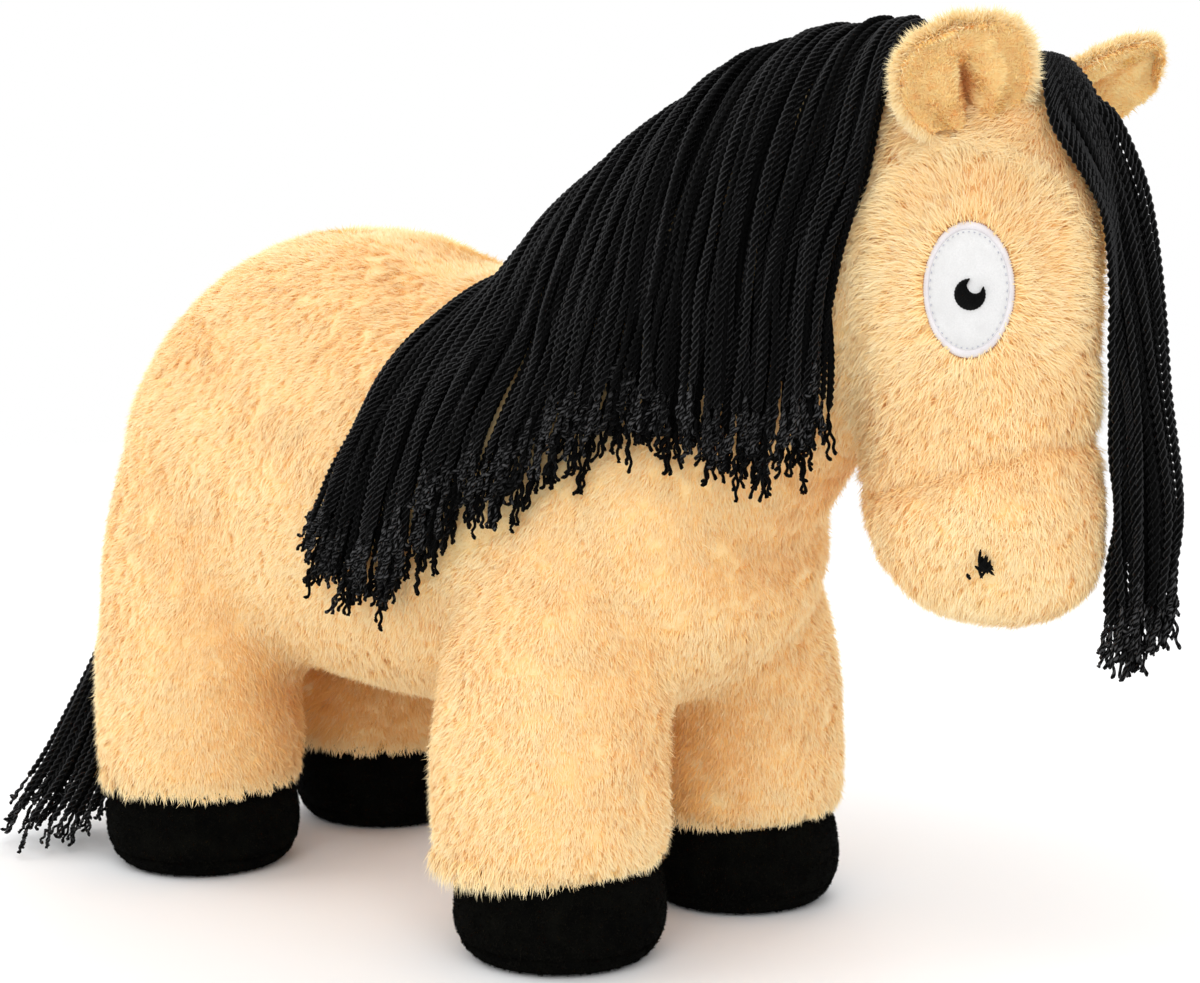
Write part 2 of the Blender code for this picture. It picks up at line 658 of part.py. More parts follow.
def make_strip(name, rows, thickness, group):
    """A tape through rows of points on a surface."""
    columns = len(rows[0])
    low = [p for row in rows for p in row]
    count = len(low)
    faces = []
    for i in range(len(rows) - 1):
        for k in range(columns - 1):
            a = i * columns + k
            faces.append((a, a + 1, a + columns + 1, a + columns))
            faces.append((count + a, count + a + columns, count + a + columns + 1, count + a + 1))
    edge = list(range(columns)) + [columns * (i + 1) - 1 for i in range(1, len(rows))]
    edge += list(range(count - 2, count - columns - 1, -1)) + [columns * i for i in range(len(rows) - 2, 0, -1)]
    for k, here in enumerate(edge):
        after = edge[(k + 1) % len(edge)]
        faces.append((here, after, count + after, count + here))
    return mesh_object(name, low + [p + Z_AXIS * thickness for p in low], faces, group)


def forelock_root(bvh):
    top = bvh.ray_cast(Vector((FORELOCK_X, FORELOCK_Y, WITHERS_Z * 2)), -Z_AXIS)[0]
    return top + Z_AXIS * (FORELOCK_THICKNESS / 2 * FORELOCK_THICKNESS_SHARES[0] + TAPE + SEAM_GAP * 4)


def forelock_rings(root, grow):
    """Sections of the lock from its root to its ends."""
    turn = radians(FORELOCK_TURN)
    wide = Vector((cos(turn), sin(turn), 0))
    rings = []
    places = [root + Vector(p) * FORELOCK_LENGTH for p in FORELOCK_PATH_SHARES]
    for i, place in enumerate(places):
        before, after = places[max(0, i - 1)], places[min(len(places) - 1, i + 1)]
        run = (after - before).normalized()
        share = min(1.0, i / 4)
        side = Y_AXIS * (1 - share) + wide * share
        side = (side - run * side.dot(run)).normalized()
        half_wide = FORELOCK_WIDTH / 2 * FORELOCK_WIDTH_SHARES[i]
        half_thick = FORELOCK_THICKNESS / 2 * FORELOCK_THICKNESS_SHARES[i]
        rings.append(oval(place, side, run.cross(side), half_wide + grow, half_thick + grow, FORELOCK_SIDES))
    return rings


def make_forelock(bvh, head_cutter, group, guides):
    """A lock that arches over the brow and hangs beside the left of the face."""
    root = forelock_root(bvh)
    lock = loft("forelock", forelock_rings(root, 0), group)
    pivot_at(lock, root)
    cut(lock, head_cutter)
    paint(lock, "yarn")

    def tape_rows(margin):
        half = FORELOCK_WIDTH / 3 + margin
        steps = (-half, -half / 2, 0, half / 2, half)
        lift = SEAM_GAP * 3
        return [[
            bvh.ray_cast(Vector((FORELOCK_X + x / 2, FORELOCK_Y + y, WITHERS_Z * 2)), -Z_AXIS)[0] + Z_AXIS * lift
            for y in steps
        ] for x in steps]

    paint(make_strip("forelock_tape", tape_rows(0), TAPE, group), "tape")
    cut(lock, as_guide(make_strip("forelock_tape_room", tape_rows(SEAM_GAP), TAPE + SEAM_GAP, guides)))


def make_tail(bvh, torso_cutter, group, guides):
    """A hank of yarn that falls from the dock and spreads on the floor."""
    dock = bvh.ray_cast(Vector((-TORSO_LENGTH, 0, TAIL_DOCK_Z)), X_AXIS)
    root = dock[0] - X_AXIS * (TAPE + SEAM_GAP * 5)
    fall = TAIL_DOCK_Z - TAIL_FLOOR_GAP
    places = [root + Vector((x * fall, y * fall, z * fall)) for x, y, z in TAIL_PATH_SHARES]
    rings = []
    for i, (place, size) in enumerate(zip(places, TAIL_SIZE_SHARES)):
        half = TAIL_RADIUS * size
        if i == 0:
            rings.append(oval(place, Y_AXIS, Z_AXIS, half, half, TAIL_SIDES))
        elif i == 1:
            slant = (X_AXIS * -1 + Z_AXIS).normalized()
            rings.append(oval(place, Y_AXIS, slant, half, half, TAIL_SIDES))
        else:
            rings.append(oval(place, Y_AXIS, -X_AXIS, half, half, TAIL_SIDES))
    tail = loft("tail", rings, group)
    pivot_at(tail, root + Z_AXIS * (TAIL_RADIUS * TAIL_SIZE_SHARES[0]))
    paint(tail, "yarn")
    pad_radius = TAIL_RADIUS * TAIL_SIZE_SHARES[1]
    pad = disc_on(
        "tail_tape", bvh, dock[0], -X_AXIS, pad_radius, pad_radius, SEAM_GAP * 3, TAPE, group, steps=14,
    )
    paint(pad, "tape")
    room_radius = pad_radius + SEAM_GAP
    cut(tail, torso_cutter)
    cut(tail, as_guide(disc_on(
        "tail_tape_room", bvh, dock[0], -X_AXIS, room_radius, room_radius, SEAM_GAP, TAPE + SEAM_GAP * 4,
        guides, steps=14,
    )))


def main():
    clear_scene()
    horse = new_collection("plush_horse")
    guides = new_collection("guides")

    torso_form = as_guide(loft("torso_form", torso_rings(0), guides))
    neck_form = as_guide(loft("neck_form", neck_rings(0, PLUSH), guides))
    head_form = as_guide(loft("head_form", head_rings(0), guides))
    torso_cutter = as_guide(loft("torso_cutter", torso_rings(SEAM_GAP), guides))
    head_cutter = as_guide(loft("head_cutter", head_rings(SEAM_GAP), guides))
    ear_cutter = as_guide(loft("ear_cutter", head_rings(EAR_SEAT_GAP), guides))
    neck_core = as_guide(loft("neck_core", neck_rings(-PLUSH, OVERRUN), guides))
    inside = -PLUSH - FILLING_GAP
    torso_core = as_guide(loft("torso_core", torso_rings(inside + SEAM_GAP, sides=FILLING_SIDES), guides))
    head_core = as_guide(loft("head_core", head_rings(inside + SEAM_GAP, sides=FILLING_SIDES), guides))

    torso = loft("torso_cover", torso_rings(0), horse)
    cut(torso, as_guide(loft("torso_room", torso_rings(-PLUSH), guides)))
    cut(torso, neck_core)
    paint(torso, "plush")
    paint(loft("torso_filling", torso_rings(inside, sides=FILLING_SIDES), horse), "stuffing")

    neck = loft("neck_cover", neck_rings(0) + neck_rings(-PLUSH)[::-1], horse, loop=True)
    cut(neck, torso_cutter)
    cut(neck, head_cutter)
    paint(neck, "plush")
    neck_filling = loft("neck_filling", neck_rings(inside), horse)
    cut(neck_filling, torso_core)
    cut(neck_filling, head_core)
    paint(neck_filling, "stuffing")

    upper, upper_room = (head_rings(grow, MOUTH_SHARE, 1, SEAM_GAP / 2)[::-1] for grow in (0, -PLUSH))
    head = bag("head_cover", upper, upper_room, horse)
    cut(head, neck_core)
    paint(head, "plush")
    lower, lower_room = (head_rings(grow, 0, MOUTH_SHARE, -SEAM_GAP / 2) for grow in (0, -PLUSH))
    paint(bag("muzzle_cover", lower, lower_room, horse), "plush")
    paint(loft("head_filling", head_rings(inside, sides=FILLING_SIDES), horse), "stuffing")

    for end_name, end in (("front", 1), ("rear", -1)):
        for side_name, side in SIDES.items():
            name = end_name + "_" + side_name
            make_leg(name, end, side, torso_cutter, horse)
            make_hoof(name, leg_place(end, side), horse)

    head_bvh = bvh_of([head_form])
    for side_name, side in SIDES.items():
        make_face(side_name, side, head_bvh, horse, guides)
    lock_room = as_guide(loft("forelock_room", forelock_rings(forelock_root(head_bvh), EAR_LOCK_GAP), guides))
    for side_name, place, along, facing, cutters in (
        ("right", (RIGHT_EAR_X, -RIGHT_EAR_SPREAD), RIGHT_EAR_ALONG_SHARES, RIGHT_EAR_FACING_SHARES, [ear_cutter]),
        ("left", (LEFT_EAR_X, LEFT_EAR_SPREAD), LEFT_EAR_ALONG_SHARES, LEFT_EAR_FACING_SHARES,
         [ear_cutter, lock_room]),
    ):
        make_ear(side_name, place, along, facing, head_bvh, cutters, horse)

    leg_form = as_guide(loft("front_right_leg_form", leg_rings(1, -1, 0), guides))
    body_bvh = bvh_of([torso_form, neck_form, leg_form])
    neck_cutter = as_guide(loft("neck_cutter", neck_rings(SEAM_GAP * 2), guides))
    leg_cutter = as_guide(loft("front_right_leg_cutter", leg_rings(1, -1, SEAM_GAP * 2), guides))
    make_mane(body_bvh, [neck_cutter, torso_cutter, head_cutter, leg_cutter], horse, guides)
    make_forelock(head_bvh, ear_cutter, horse, guides)
    make_tail(bvh_of([torso_form]), torso_cutter, horse, guides)


main()
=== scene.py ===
"""Looks of the plush horse: stuffed body under real fur, velour hooves, felt eyes and yarn hair.

Metres, in the same frame as the part. Everything is made from numpy arrays with fixed seeds.
"""
from math import cos, pi, radians, sin

import bmesh
import bpy
import numpy as np
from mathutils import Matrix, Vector
from mathutils.bvhtree import BVHTree


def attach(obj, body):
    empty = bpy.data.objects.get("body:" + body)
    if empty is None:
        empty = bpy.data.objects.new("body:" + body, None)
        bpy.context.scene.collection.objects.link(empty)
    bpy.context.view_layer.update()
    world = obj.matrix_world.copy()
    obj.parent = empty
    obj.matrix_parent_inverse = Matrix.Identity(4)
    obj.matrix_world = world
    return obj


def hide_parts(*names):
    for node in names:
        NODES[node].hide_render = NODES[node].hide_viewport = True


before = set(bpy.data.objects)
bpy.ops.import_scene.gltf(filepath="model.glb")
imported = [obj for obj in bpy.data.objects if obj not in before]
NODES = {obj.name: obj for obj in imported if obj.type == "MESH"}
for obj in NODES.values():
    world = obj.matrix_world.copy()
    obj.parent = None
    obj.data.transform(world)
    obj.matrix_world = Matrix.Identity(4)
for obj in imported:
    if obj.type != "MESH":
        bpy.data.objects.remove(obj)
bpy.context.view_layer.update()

MM = 0.001
UP = np.array((0.0, 0.0, 1.0))
DOWN = (0, 0, -1)
SIDES = (("right", -1), ("left", 1))
GOLDEN_ANGLE = pi * (3 - 5 ** 0.5)

LEGS = [end + "_" + side for end in ("front", "rear") for side in ("right", "left")]
BODY_PARTS = ["torso", "neck", "head", "muzzle"] + [leg + "_leg" for leg in LEGS]

HEAD_X = 0.173
EYE_Z = 0.2215
EYE_X = HEAD_X + 0.0175
NOSTRIL_X = HEAD_X + 0.0228
NOSTRIL_Z = 0.1418
EYE_TURN = radians(60)
EYE_HALF_WIDTH = 0.0133
EYE_HALF_HEIGHT = 0.01975
PILE_INSET = 0.0020
LEG_MIDDLE_X = -0.040
LEG_APART_X = 0.0875
LEG_Y = 0.046
HOOF_RADIUS = 0.0345
HOOF_HEIGHT = 0.030
DOCK_Z = 0.166


# Numbers.

def unit(v):
    return v / np.maximum(np.linalg.norm(v, axis=-1, keepdims=True), 1e-12)


def smooth(x):
    x = np.clip(x, 0, 1)
    return x * x * (3 - 2 * x)


def softened(line, rounds):
    """Draws each inner point of a line towards its neighbours, in place."""
    for _ in range(rounds):
        line[1:-1] = (line[:-2] + line[1:-1] * 2 + line[2:]) / 4
    return line


def run_along(path):
    """The distance along a path to each of its points."""
    return np.concatenate([[0], np.cumsum(np.linalg.norm(np.diff(path, axis=0), axis=1))])


def places_at(at, run, path):
    return np.stack([np.interp(at, run, path[:, k]) for k in range(3)], axis=-1)


def halved(quads):
    return np.vstack([quads[:, [0, 1, 2]], quads[:, [0, 2, 3]]])


def first_hit(tree, start, way):
    return np.array(tree.ray_cast(Vector(start), Vector(way))[0])


def waves(points, size, seed):
    """Smooth noise about zero over places, with features of about a size."""
    draw = np.random.default_rng(seed)
    total = np.zeros(len(points))
    for _ in range(9):
        run = unit(draw.normal(size=3)) * (2 * pi / size) * draw.uniform(0.6, 1.6)
        total += np.sin(points @ run + draw.uniform(0, 2 * pi))
    return total / 3


def mesh_piece(name, verts, faces, material, body=None, fields=None, uv=None):
    """A mesh object from arrays, with float fields at its points."""
    verts = np.asarray(verts, dtype=np.float32)
    faces = np.asarray(faces, dtype=np.int32)
    count, size = faces.shape
    mesh = bpy.data.meshes.new(name)
    mesh.vertices.add(len(verts))
    mesh.vertices.foreach_set("co", verts.ravel())
    mesh.loops.add(count * size)
    mesh.loops.foreach_set("vertex_index", faces.ravel())
    mesh.polygons.add(count)
    mesh.polygons.foreach_set("loop_start", np.arange(0, count * size, size, dtype=np.int32))
    mesh.update(calc_edges=True)
    mesh.shade_smooth()
    for key, values in (fields or {}).items():
        mesh.attributes.new(key, "FLOAT", "POINT").data.foreach_set(
            "value", np.asarray(values, dtype=np.float32))
    if uv is not None:
        layer = mesh.uv_layers.new(name="OFBake")
        layer.uv.foreach_set("vector", np.asarray(uv, dtype=np.float32)[faces.ravel()].ravel())
    mesh.materials.append(material)
    obj = bpy.data.objects.new(name, mesh)
    bpy.context.scene.collection.objects.link(obj)
    if body:
        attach(obj, body)
    return obj


def bvh_of(names):
    verts, faces = [], []
    for name in names:
        start = len(verts)
        mesh = NODES[name].data
        verts += [v.co.copy() for v in mesh.vertices]
        faces += [tuple(start + i for i in p.vertices) for p in mesh.polygons]
    return BVHTree.FromPolygons(verts, faces)


# Materials.

def material(name):
    mat = bpy.data.materials.new(name)
    mat.use_nodes = True
    tree = mat.node_tree
    return mat, tree, tree.nodes["Principled BSDF"]


def add(tree, kind, **values):
    node = tree.nodes.new(kind)
    for key, value in values.items():
        if key.startswith("in_"):
            node.inputs[key[3:].replace("_", " ")].default_value = value
        else:
            setattr(node, key, value)
    return node


def set_inputs(node, **values):
    for key, value in values.items():
        node.inputs[key.replace("_", " ")].default_value = value


def ramp(tree, source, stops):
    node = tree.nodes.new("ShaderNodeValToRGB")
    marks = node.color_ramp.elements
    while len(marks) < len(stops):
        marks.new(0.5)
    for mark, (place, colour) in zip(marks, stops):
        mark.position = place
        mark.color = (*colour, 1)
    tree.links.new(source, node.inputs["Fac"])
    return node


def field_node(tree, name):
    return add(tree, "ShaderNodeAttribute", attribute_type="GEOMETRY", attribute_name=name)


def fur_material(name, root, middle, tip, fleck, painted_shade_colour, roughness=0.75, sheen=0.25, shine=0.08):
    """Pile that is deep at its roots and pale at its tips, with a share of darker clumps, and painted shade: the deep
    field mixes it towards a shade colour.
    """
    mat, tree, shader = material(name)
    link = tree.links.new
    along = field_node(tree, "along")
    shade = field_node(tree, "shade")
    colours = ramp(tree, along.outputs["Fac"], [(0.0, root), (0.45, middle), (1.0, tip)])
    deep = ramp(tree, along.outputs["Fac"], [(0.0, root), (0.6, fleck), (1.0, middle)])
    mix = add(tree, "ShaderNodeMix", data_type="RGBA")
    link(shade.outputs["Fac"], mix.inputs["Factor"])
    link(colours.outputs["Color"], mix.inputs[6])
    link(deep.outputs["Color"], mix.inputs[7])
    # Painted shade: where the deep field is high, the colour goes towards the painted shade colour.
    closed = add(tree, "ShaderNodeMix", data_type="RGBA")
    closed.inputs[7].default_value = (*painted_shade_colour, 1)
    link(field_node(tree, "deep").outputs["Fac"], closed.inputs["Factor"])
    link(mix.outputs[2], closed.inputs[6])
    link(closed.outputs[2], shader.inputs["Base Color"])
    set_inputs(shader, Roughness=roughness, Specular_IOR_Level=shine, Sheen_Weight=sheen,
               Sheen_Roughness=0.6, Sheen_Tint=(1.0, 0.86, 0.66, 1))
    return mat


def cloth_material(name, low, high, size, bump, roughness=0.85, sheen=0.3,
                   tint=(1, 1, 1), stretch=(1, 1, 1), shine=0.2):
    """Fibrous cloth: noise in its colour and a bump at the scale of its fibres."""
    mat, tree, shader = material(name)
    link = tree.links.new
    place = add(tree, "ShaderNodeTexCoord")
    scale = add(tree, "ShaderNodeMapping", in_Scale=stretch)
    link(place.outputs["Object"], scale.inputs["Vector"])
    fibre = add(tree, "ShaderNodeTexNoise", in_Scale=1 / size, in_Detail=6.0, in_Roughness=0.65)
    patch = add(tree, "ShaderNodeTexNoise", in_Scale=1 / size / 14, in_Detail=3.0)
    for node in (fibre, patch):
        link(scale.outputs["Vector"], node.inputs["Vector"])
    mixed = add(tree, "ShaderNodeMath", operation="MULTIPLY")
    link(fibre.outputs["Fac"], mixed.inputs[0])
    link(patch.outputs["Fac"], mixed.inputs[1])
    tone = ramp(tree, mixed.outputs["Value"], [(0.12, low), (0.42, high)])
    link(tone.outputs["Color"], shader.inputs["Base Color"])
    raised = add(tree, "ShaderNodeBump", in_Strength=bump, in_Distance=size)
    link(fibre.outputs["Fac"], raised.inputs["Height"])
    link(raised.outputs["Normal"], shader.inputs["Normal"])
    set_inputs(shader, Roughness=roughness, Specular_IOR_Level=shine, Sheen_Weight=sheen,
               Sheen_Roughness=0.5, Sheen_Tint=(*tint, 1))
    return mat


PLUSH_FUR = fur_material("plush_pile", (0.95, 0.61, 0.21), (0.955, 0.757, 0.385),
                         (0.965, 0.888, 0.63), (0.96, 0.69, 0.29), (0.90, 0.57, 0.20))
LINING_FUR = fur_material("lining_pile", (1.0, 0.64, 0.20), (1.0, 0.79, 0.34),
                          (1.0, 0.90, 0.55), (1.0, 0.65, 0.22), (0.97, 0.52, 0.12))
# The velour pile's paler tips are painted highlight on its black fibres.
VELOUR_FUR = fur_material("velour_pile", (0.001, 0.001, 0.001), (0.003, 0.003, 0.0026),
                          (0.012, 0.011, 0.009), (0.002, 0.002, 0.0016), (0.001, 0.001, 0.001), 0.95, 0.0, 0.0)
PLUSH_SKIN = cloth_material("plush_backing", (0.95, 0.68, 0.31), (0.97, 0.77, 0.42), 0.0012, 0.6)
LINING_SKIN = cloth_material("lining_backing", (0.94, 0.58, 0.24), (0.98, 0.70, 0.35), 0.0009, 0.6)
VELOUR = cloth_material("velour_cloth", (0.001, 0.001, 0.001), (0.004, 0.004, 0.003),
        0.0006, 0.8, 0.95, 0.0, shine=0.02)
FELT = cloth_material("felt_white", (0.61, 0.605, 0.60), (0.71, 0.705, 0.70), 0.0005, 0.35, 0.9, 0.2)
SATIN = cloth_material("rim_satin", (0.62, 0.585, 0.60), (0.74, 0.71, 0.72), 0.0004, 0.3, 0.6, 0.3)
THREAD = cloth_material("thread_black", (0.001, 0.001, 0.001), (0.005, 0.005, 0.005),
        0.0004, 0.6, 0.8, 0.02, shine=0.05)
THREAD_GREY = cloth_material("thread_grey", (0.36, 0.37, 0.44), (0.50, 0.51, 0.58), 0.0004, 0.4, 0.7, 0.2)
THREAD_BROWN = cloth_material("thread_brown", (0.30, 0.13, 0.09), (0.42, 0.20, 0.13), 0.0004, 0.4, 0.7, 0.2)
TAPE = cloth_material("tape_weave", (0.003, 0.003, 0.003), (0.010, 0.010, 0.010),
        0.0005, 0.7, 0.8, 0.05, shine=0.1)


def yarn_material():
    mat, tree, shader = material("yarn_black")
    link = tree.links.new
    shade = field_node(tree, "shade")
    place = add(tree, "ShaderNodeTexCoord")
    fibre = add(tree, "ShaderNodeTexNoise", in_Scale=2600.0, in_Detail=4.0, in_Roughness=0.6)
    link(place.outputs["Object"], fibre.inputs["Vector"])
    # The ramp paints highlights on the ply ridges and shade in the valleys and on darker strands, from the shade
    # field.
    tone = ramp(tree, shade.outputs["Fac"], [
        (0.0, (0.0003, 0.0003, 0.0003)), (0.5, (0.0008, 0.0008, 0.0008)),
        (0.68, (0.0040, 0.0040, 0.0042)), (0.80, (0.032, 0.032, 0.0326)), (1.0, (0.060, 0.060, 0.0615)),
    ])
    link(tone.outputs["Color"], shader.inputs["Base Color"])
    raised = add(tree, "ShaderNodeBump", in_Strength=0.5, in_Distance=0.0002)
    link(fibre.outputs["Fac"], raised.inputs["Height"])
    link(raised.outputs["Normal"], shader.inputs["Normal"])
    set_inputs(shader, Roughness=0.7, Specular_IOR_Level=0.05, Sheen_Weight=0.02, Sheen_Roughness=0.4)
    return mat


YARN = yarn_material()


# Stuffed body.

def fused_body(voxel):
    """The covers and fillings as one soft closed form; it is set in to the height of the pile's backing afterwards.
    """
    work = bmesh.new()
    for part in BODY_PARTS:
        for kind in ("_cover", "_filling"):
            if part + kind in NODES:
                work.from_mesh(NODES[part + kind].data)
    rough = bpy.data.meshes.new("rough")
    work.to_mesh(rough)
    work.free()
    holder = bpy.data.objects.new("rough", rough)
    bpy.context.scene.collection.objects.link(holder)
    fuse = holder.modifiers.new("Fuse", "REMESH")
    fuse.mode = "VOXEL"
    fuse.voxel_size = voxel
    graph = bpy.context.evaluated_depsgraph_get()
    solid = bpy.data.meshes.new_from_object(holder.evaluated_get(graph))
    bpy.data.objects.remove(holder, do_unlink=True)
    work = bmesh.new()
    work.from_mesh(solid)
    left = set(work.verts)
    best = []
    while left:
        seed = next(iter(left))
        found, front = {seed}, [seed]
        while front:
            v = front.pop()
            for edge in v.link_edges:
                o = edge.other_vert(v)
                if o not in found:
                    found.add(o)
                    front.append(o)
        left -= found
        if len(found) > len(best):
            best = found
    bmesh.ops.delete(work, geom=[v for v in work.verts if v not in best], context="VERTS")
    bmesh.ops.triangulate(work, faces=work.faces)
    work.to_mesh(solid)
    work.free()
    return solid


def arrays(mesh):
    verts = np.empty(len(mesh.vertices) * 3, dtype=np.float32)
    mesh.vertices.foreach_get("co", verts)
    tris = np.empty(len(mesh.polygons) * 3, dtype=np.int32)
    mesh.loops.foreach_get("vertex_index", tris)
    return verts.reshape(-1, 3).astype(float), tris.reshape(-1, 3)


def edges_of(tris):
    pairs = np.sort(np.concatenate([tris[:, [0, 1]], tris[:, [1, 2]], tris[:, [2, 0]]]), axis=1)
    return np.unique(pairs, axis=0)


def relax(verts, edges, rounds, share=0.5):
    """Each point moves towards the middle of its neighbours."""
    count = np.bincount(edges.ravel(), minlength=len(verts))[:, None]
    for _ in range(rounds):
        total = np.empty_like(verts)
        for axis in range(3):
            total[:, axis] = (
                np.bincount(edges[:, 0], weights=verts[edges[:, 1], axis], minlength=len(verts))
                + np.bincount(edges[:, 1], weights=verts[edges[:, 0], axis], minlength=len(verts))
            )
        verts = verts + (total / count - verts) * share
    return verts


def point_normals(verts, tris):
    a, b, c = (verts[tris[:, i]] for i in range(3))
    flat = np.cross(b - a, c - a)
    total = np.zeros_like(verts)
    for i in range(3):
        for axis in range(3):
            total[:, axis] += np.bincount(tris[:, i], weights=flat[:, axis], minlength=len(verts))
    return unit(total)


def mouth_height(x):
    return 0.1600 + (x - 0.160) * 0.333


def bump(x, middle, half):
    return smooth(1 - np.abs(x - middle) / half)


def fuller(points):
    """The stuffing's own shape: a humped rump, full haunches and chest and a heavy muzzle."""
    x, y, z = points.T.copy()
    top = smooth((z - 0.17) / 0.05) * smooth((0.03 - x) / 0.03)
    dz = top * (0.0058 * bump(x, -0.102, 0.070) - 0.0086 * smooth((x + 0.074) / 0.052))
    at_dock = np.exp(-(y / 0.020) ** 2 - ((z - 0.170) / 0.020) ** 2)
    dx = (-0.0062 * smooth((-0.09 - x) / 0.06) * bump(z, 0.140, 0.060) * (1 - at_dock)
          + 0.0006 * smooth((-0.11 - x) / 0.04) * bump(z, 0.205, 0.04))
    dy = 0.0020 * np.sign(y) * smooth(np.abs(y) / 0.03) * smooth((-0.09 - x) / 0.06) * bump(z, 0.150, 0.065)
    dx += 0.0040 * smooth((x - 0.03) / 0.03) * smooth((0.146 - z) / 0.03) * smooth((0.13 - x) / 0.02)
    dy += 0.0010 * smooth((y - 0.045) / 0.02) * smooth(x / 0.03) * bump(z, 0.040, 0.030)
    muzzle = smooth((x - 0.125) / 0.012) * smooth((mouth_height(np.maximum(x, 0.145)) + 0.006 - z) / 0.016)
    away = unit(np.stack([x - 0.178, y, 0 * x], axis=1))
    dx += muzzle * (away[:, 0] * 0.0022 + 0.0004 + 0.0030 * smooth((0.156 - z) / 0.03))
    dx -= muzzle * 0.0018 * smooth((x - 0.188) / 0.016) * smooth((z - 0.134) / 0.018)
    dx -= 0.0030 * bump(z, 0.161, 0.013) * smooth((0.168 - x) / 0.02) * smooth((x - 0.132) / 0.006)
    dy += muzzle * away[:, 1] * 0.0020
    dz -= muzzle * 0.0034 * smooth((0.150 - z) / 0.03)
    return points + np.stack([dx, dy, dz], axis=1)


body_verts, body_tris = arrays(fused_body(0.0023))
body_edges = edges_of(body_tris)
body_verts = relax(body_verts, body_edges, 10)
body_norms = point_normals(body_verts, body_tris)

PART_TREES = {part: bvh_of([part + "_cover"]) for part in BODY_PARTS}
nearest = np.array([
    [PART_TREES[part].find_nearest(Vector(v))[3] for part in BODY_PARTS] for v in body_verts
])
body_region = np.argmin(nearest, axis=1)

HEAD_TREE = bvh_of(["head_cover", "muzzle_cover"])
eye_hits = {side: first_hit(HEAD_TREE, (EYE_X, side * 0.2, EYE_Z), (0, -side, 0)) for _, side in SIDES}


def eye_share(points, side):
    """Distance from an eye's middle as a share of its edge's, seen along the eye's facing."""
    facing = np.array((cos(EYE_TURN), side * sin(EYE_TURN), 0))
    across = np.cross(UP, facing)
    rel = points - eye_hits[side]
    flat = np.hypot(rel @ across / EYE_HALF_WIDTH, rel[:, 2] / EYE_HALF_HEIGHT)
    return np.where(rel @ facing > -0.02, flat, 9.0)


head_like = np.isin(body_region, [BODY_PARTS.index("head"), BODY_PARTS.index("muzzle")])
inset = np.full(len(body_verts), PILE_INSET)
inset[head_like] = 0.0019
for side in (-1, 1):
    inset -= (inset - 0.0006) * (1 - smooth((eye_share(body_verts, side) - 0.85) / 0.5))
from_mouth = (body_verts[:, 2] - mouth_height(body_verts[:, 0])) / 0.0028
inset += np.where(head_like & (body_verts[:, 0] > 0.150), 0.0021 * np.exp(-from_mouth ** 2), 0)
inset -= waves(body_verts, 0.085, 3) * 0.0006
body_verts = fuller(body_verts - body_norms * inset[:, None])
body_verts = relax(body_verts, body_edges, 2)
body_norms = point_normals(body_verts, body_tris)

SKIN_TREE = BVHTree.FromPolygons([tuple(v) for v in body_verts], [tuple(t) for t in body_tris])

body = mesh_piece("stuffed_body", body_verts, body_tris, PLUSH_SKIN, "horse_body")
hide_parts(*[n for n in NODES if n.endswith("_filling")],
            *[part + "_cover" for part in BODY_PARTS])


# Pile.

PER_CLUMP = 9
BLADE_POINTS = 5
BLADE_FACES = np.array([(0, 1, 3), (0, 3, 2), (2, 3, 4)])


def sample(verts, norms, tris, weight, count, seed):
    """Random places over triangles, by area and weight."""
    draw = np.random.default_rng(seed)
    a, b, c = (verts[tris[:, i]] for i in range(3))
    area = np.linalg.norm(np.cross(b - a, c - a), axis=1) / 2 * weight
    chosen = draw.choice(len(tris), size=count, p=area / area.sum())
    u, v = draw.random(count), draw.random(count)
    over = u + v > 1
    u[over], v[over] = 1 - u[over], 1 - v[over]
    shares = np.stack([1 - u - v, u, v], axis=1)
    points = (verts[tris[chosen]] * shares[:, :, None]).sum(axis=1)
    normals = unit((norms[tris[chosen]] * shares[:, :, None]).sum(axis=1))
    return points, normals, chosen


def blades(points, normals, nap, length, lean, shade, deep, width, spread, seed,
           per_clump=PER_CLUMP, ragged=0.20):
    """Clumps of tapering blades that bend over along the nap. Gives points and fields."""
    draw = np.random.default_rng(seed)
    pick = np.repeat(np.arange(len(points)), per_clump)
    count = len(pick)
    n = normals[pick]
    t = unit(nap - (nap * normals).sum(axis=1, keepdims=True) * normals)[pick]
    s = np.cross(n, t)
    reach = spread * np.sqrt(draw.random(count))
    angle = draw.random(count) * 2 * pi
    off = t * (reach * np.cos(angle))[:, None] + s * (reach * np.sin(angle))[:, None]
    root = points[pick] + off - n * 0.0005
    lean_in = lean[pick, None]
    size = (length[pick] * draw.uniform(0.72, 1.12, count))[:, None]
    jitter = draw.normal(size=(count, 3))
    first = unit(n * (1 - lean_in * 0.62) + t * lean_in * 0.62 + jitter * ragged * 0.6)
    second = unit(n * (1 - lean_in) + t * lean_in + jitter * ragged)
    middle = root + first * size * 0.48 - off * 0.28
    tip = middle + second * size * 0.52 - off * 0.30
    turn = draw.uniform(-0.55, 0.55, count)[:, None]
    side = unit(np.cross(first, n))
    side = side * np.cos(turn) + np.cross(first, side) * np.sin(turn)
    half = side * (width / 2 * draw.uniform(0.75, 1.25, count))[:, None]
    face = np.cross(half, first)
    half = np.where((face * n).sum(axis=1, keepdims=True) < 0, -half, half)
    verts = np.stack([root - half * 0.8, root + half * 0.8, middle - half, middle + half, tip], axis=1)
    along = np.tile([0, 0, 0.52, 0.52, 1.0], count)
    tone = np.clip(shade[pick] + draw.normal(size=count) * 0.12, 0, 1)
    return verts.reshape(-1, 3), along, np.repeat(tone, BLADE_POINTS), np.repeat(deep[pick], BLADE_POINTS)


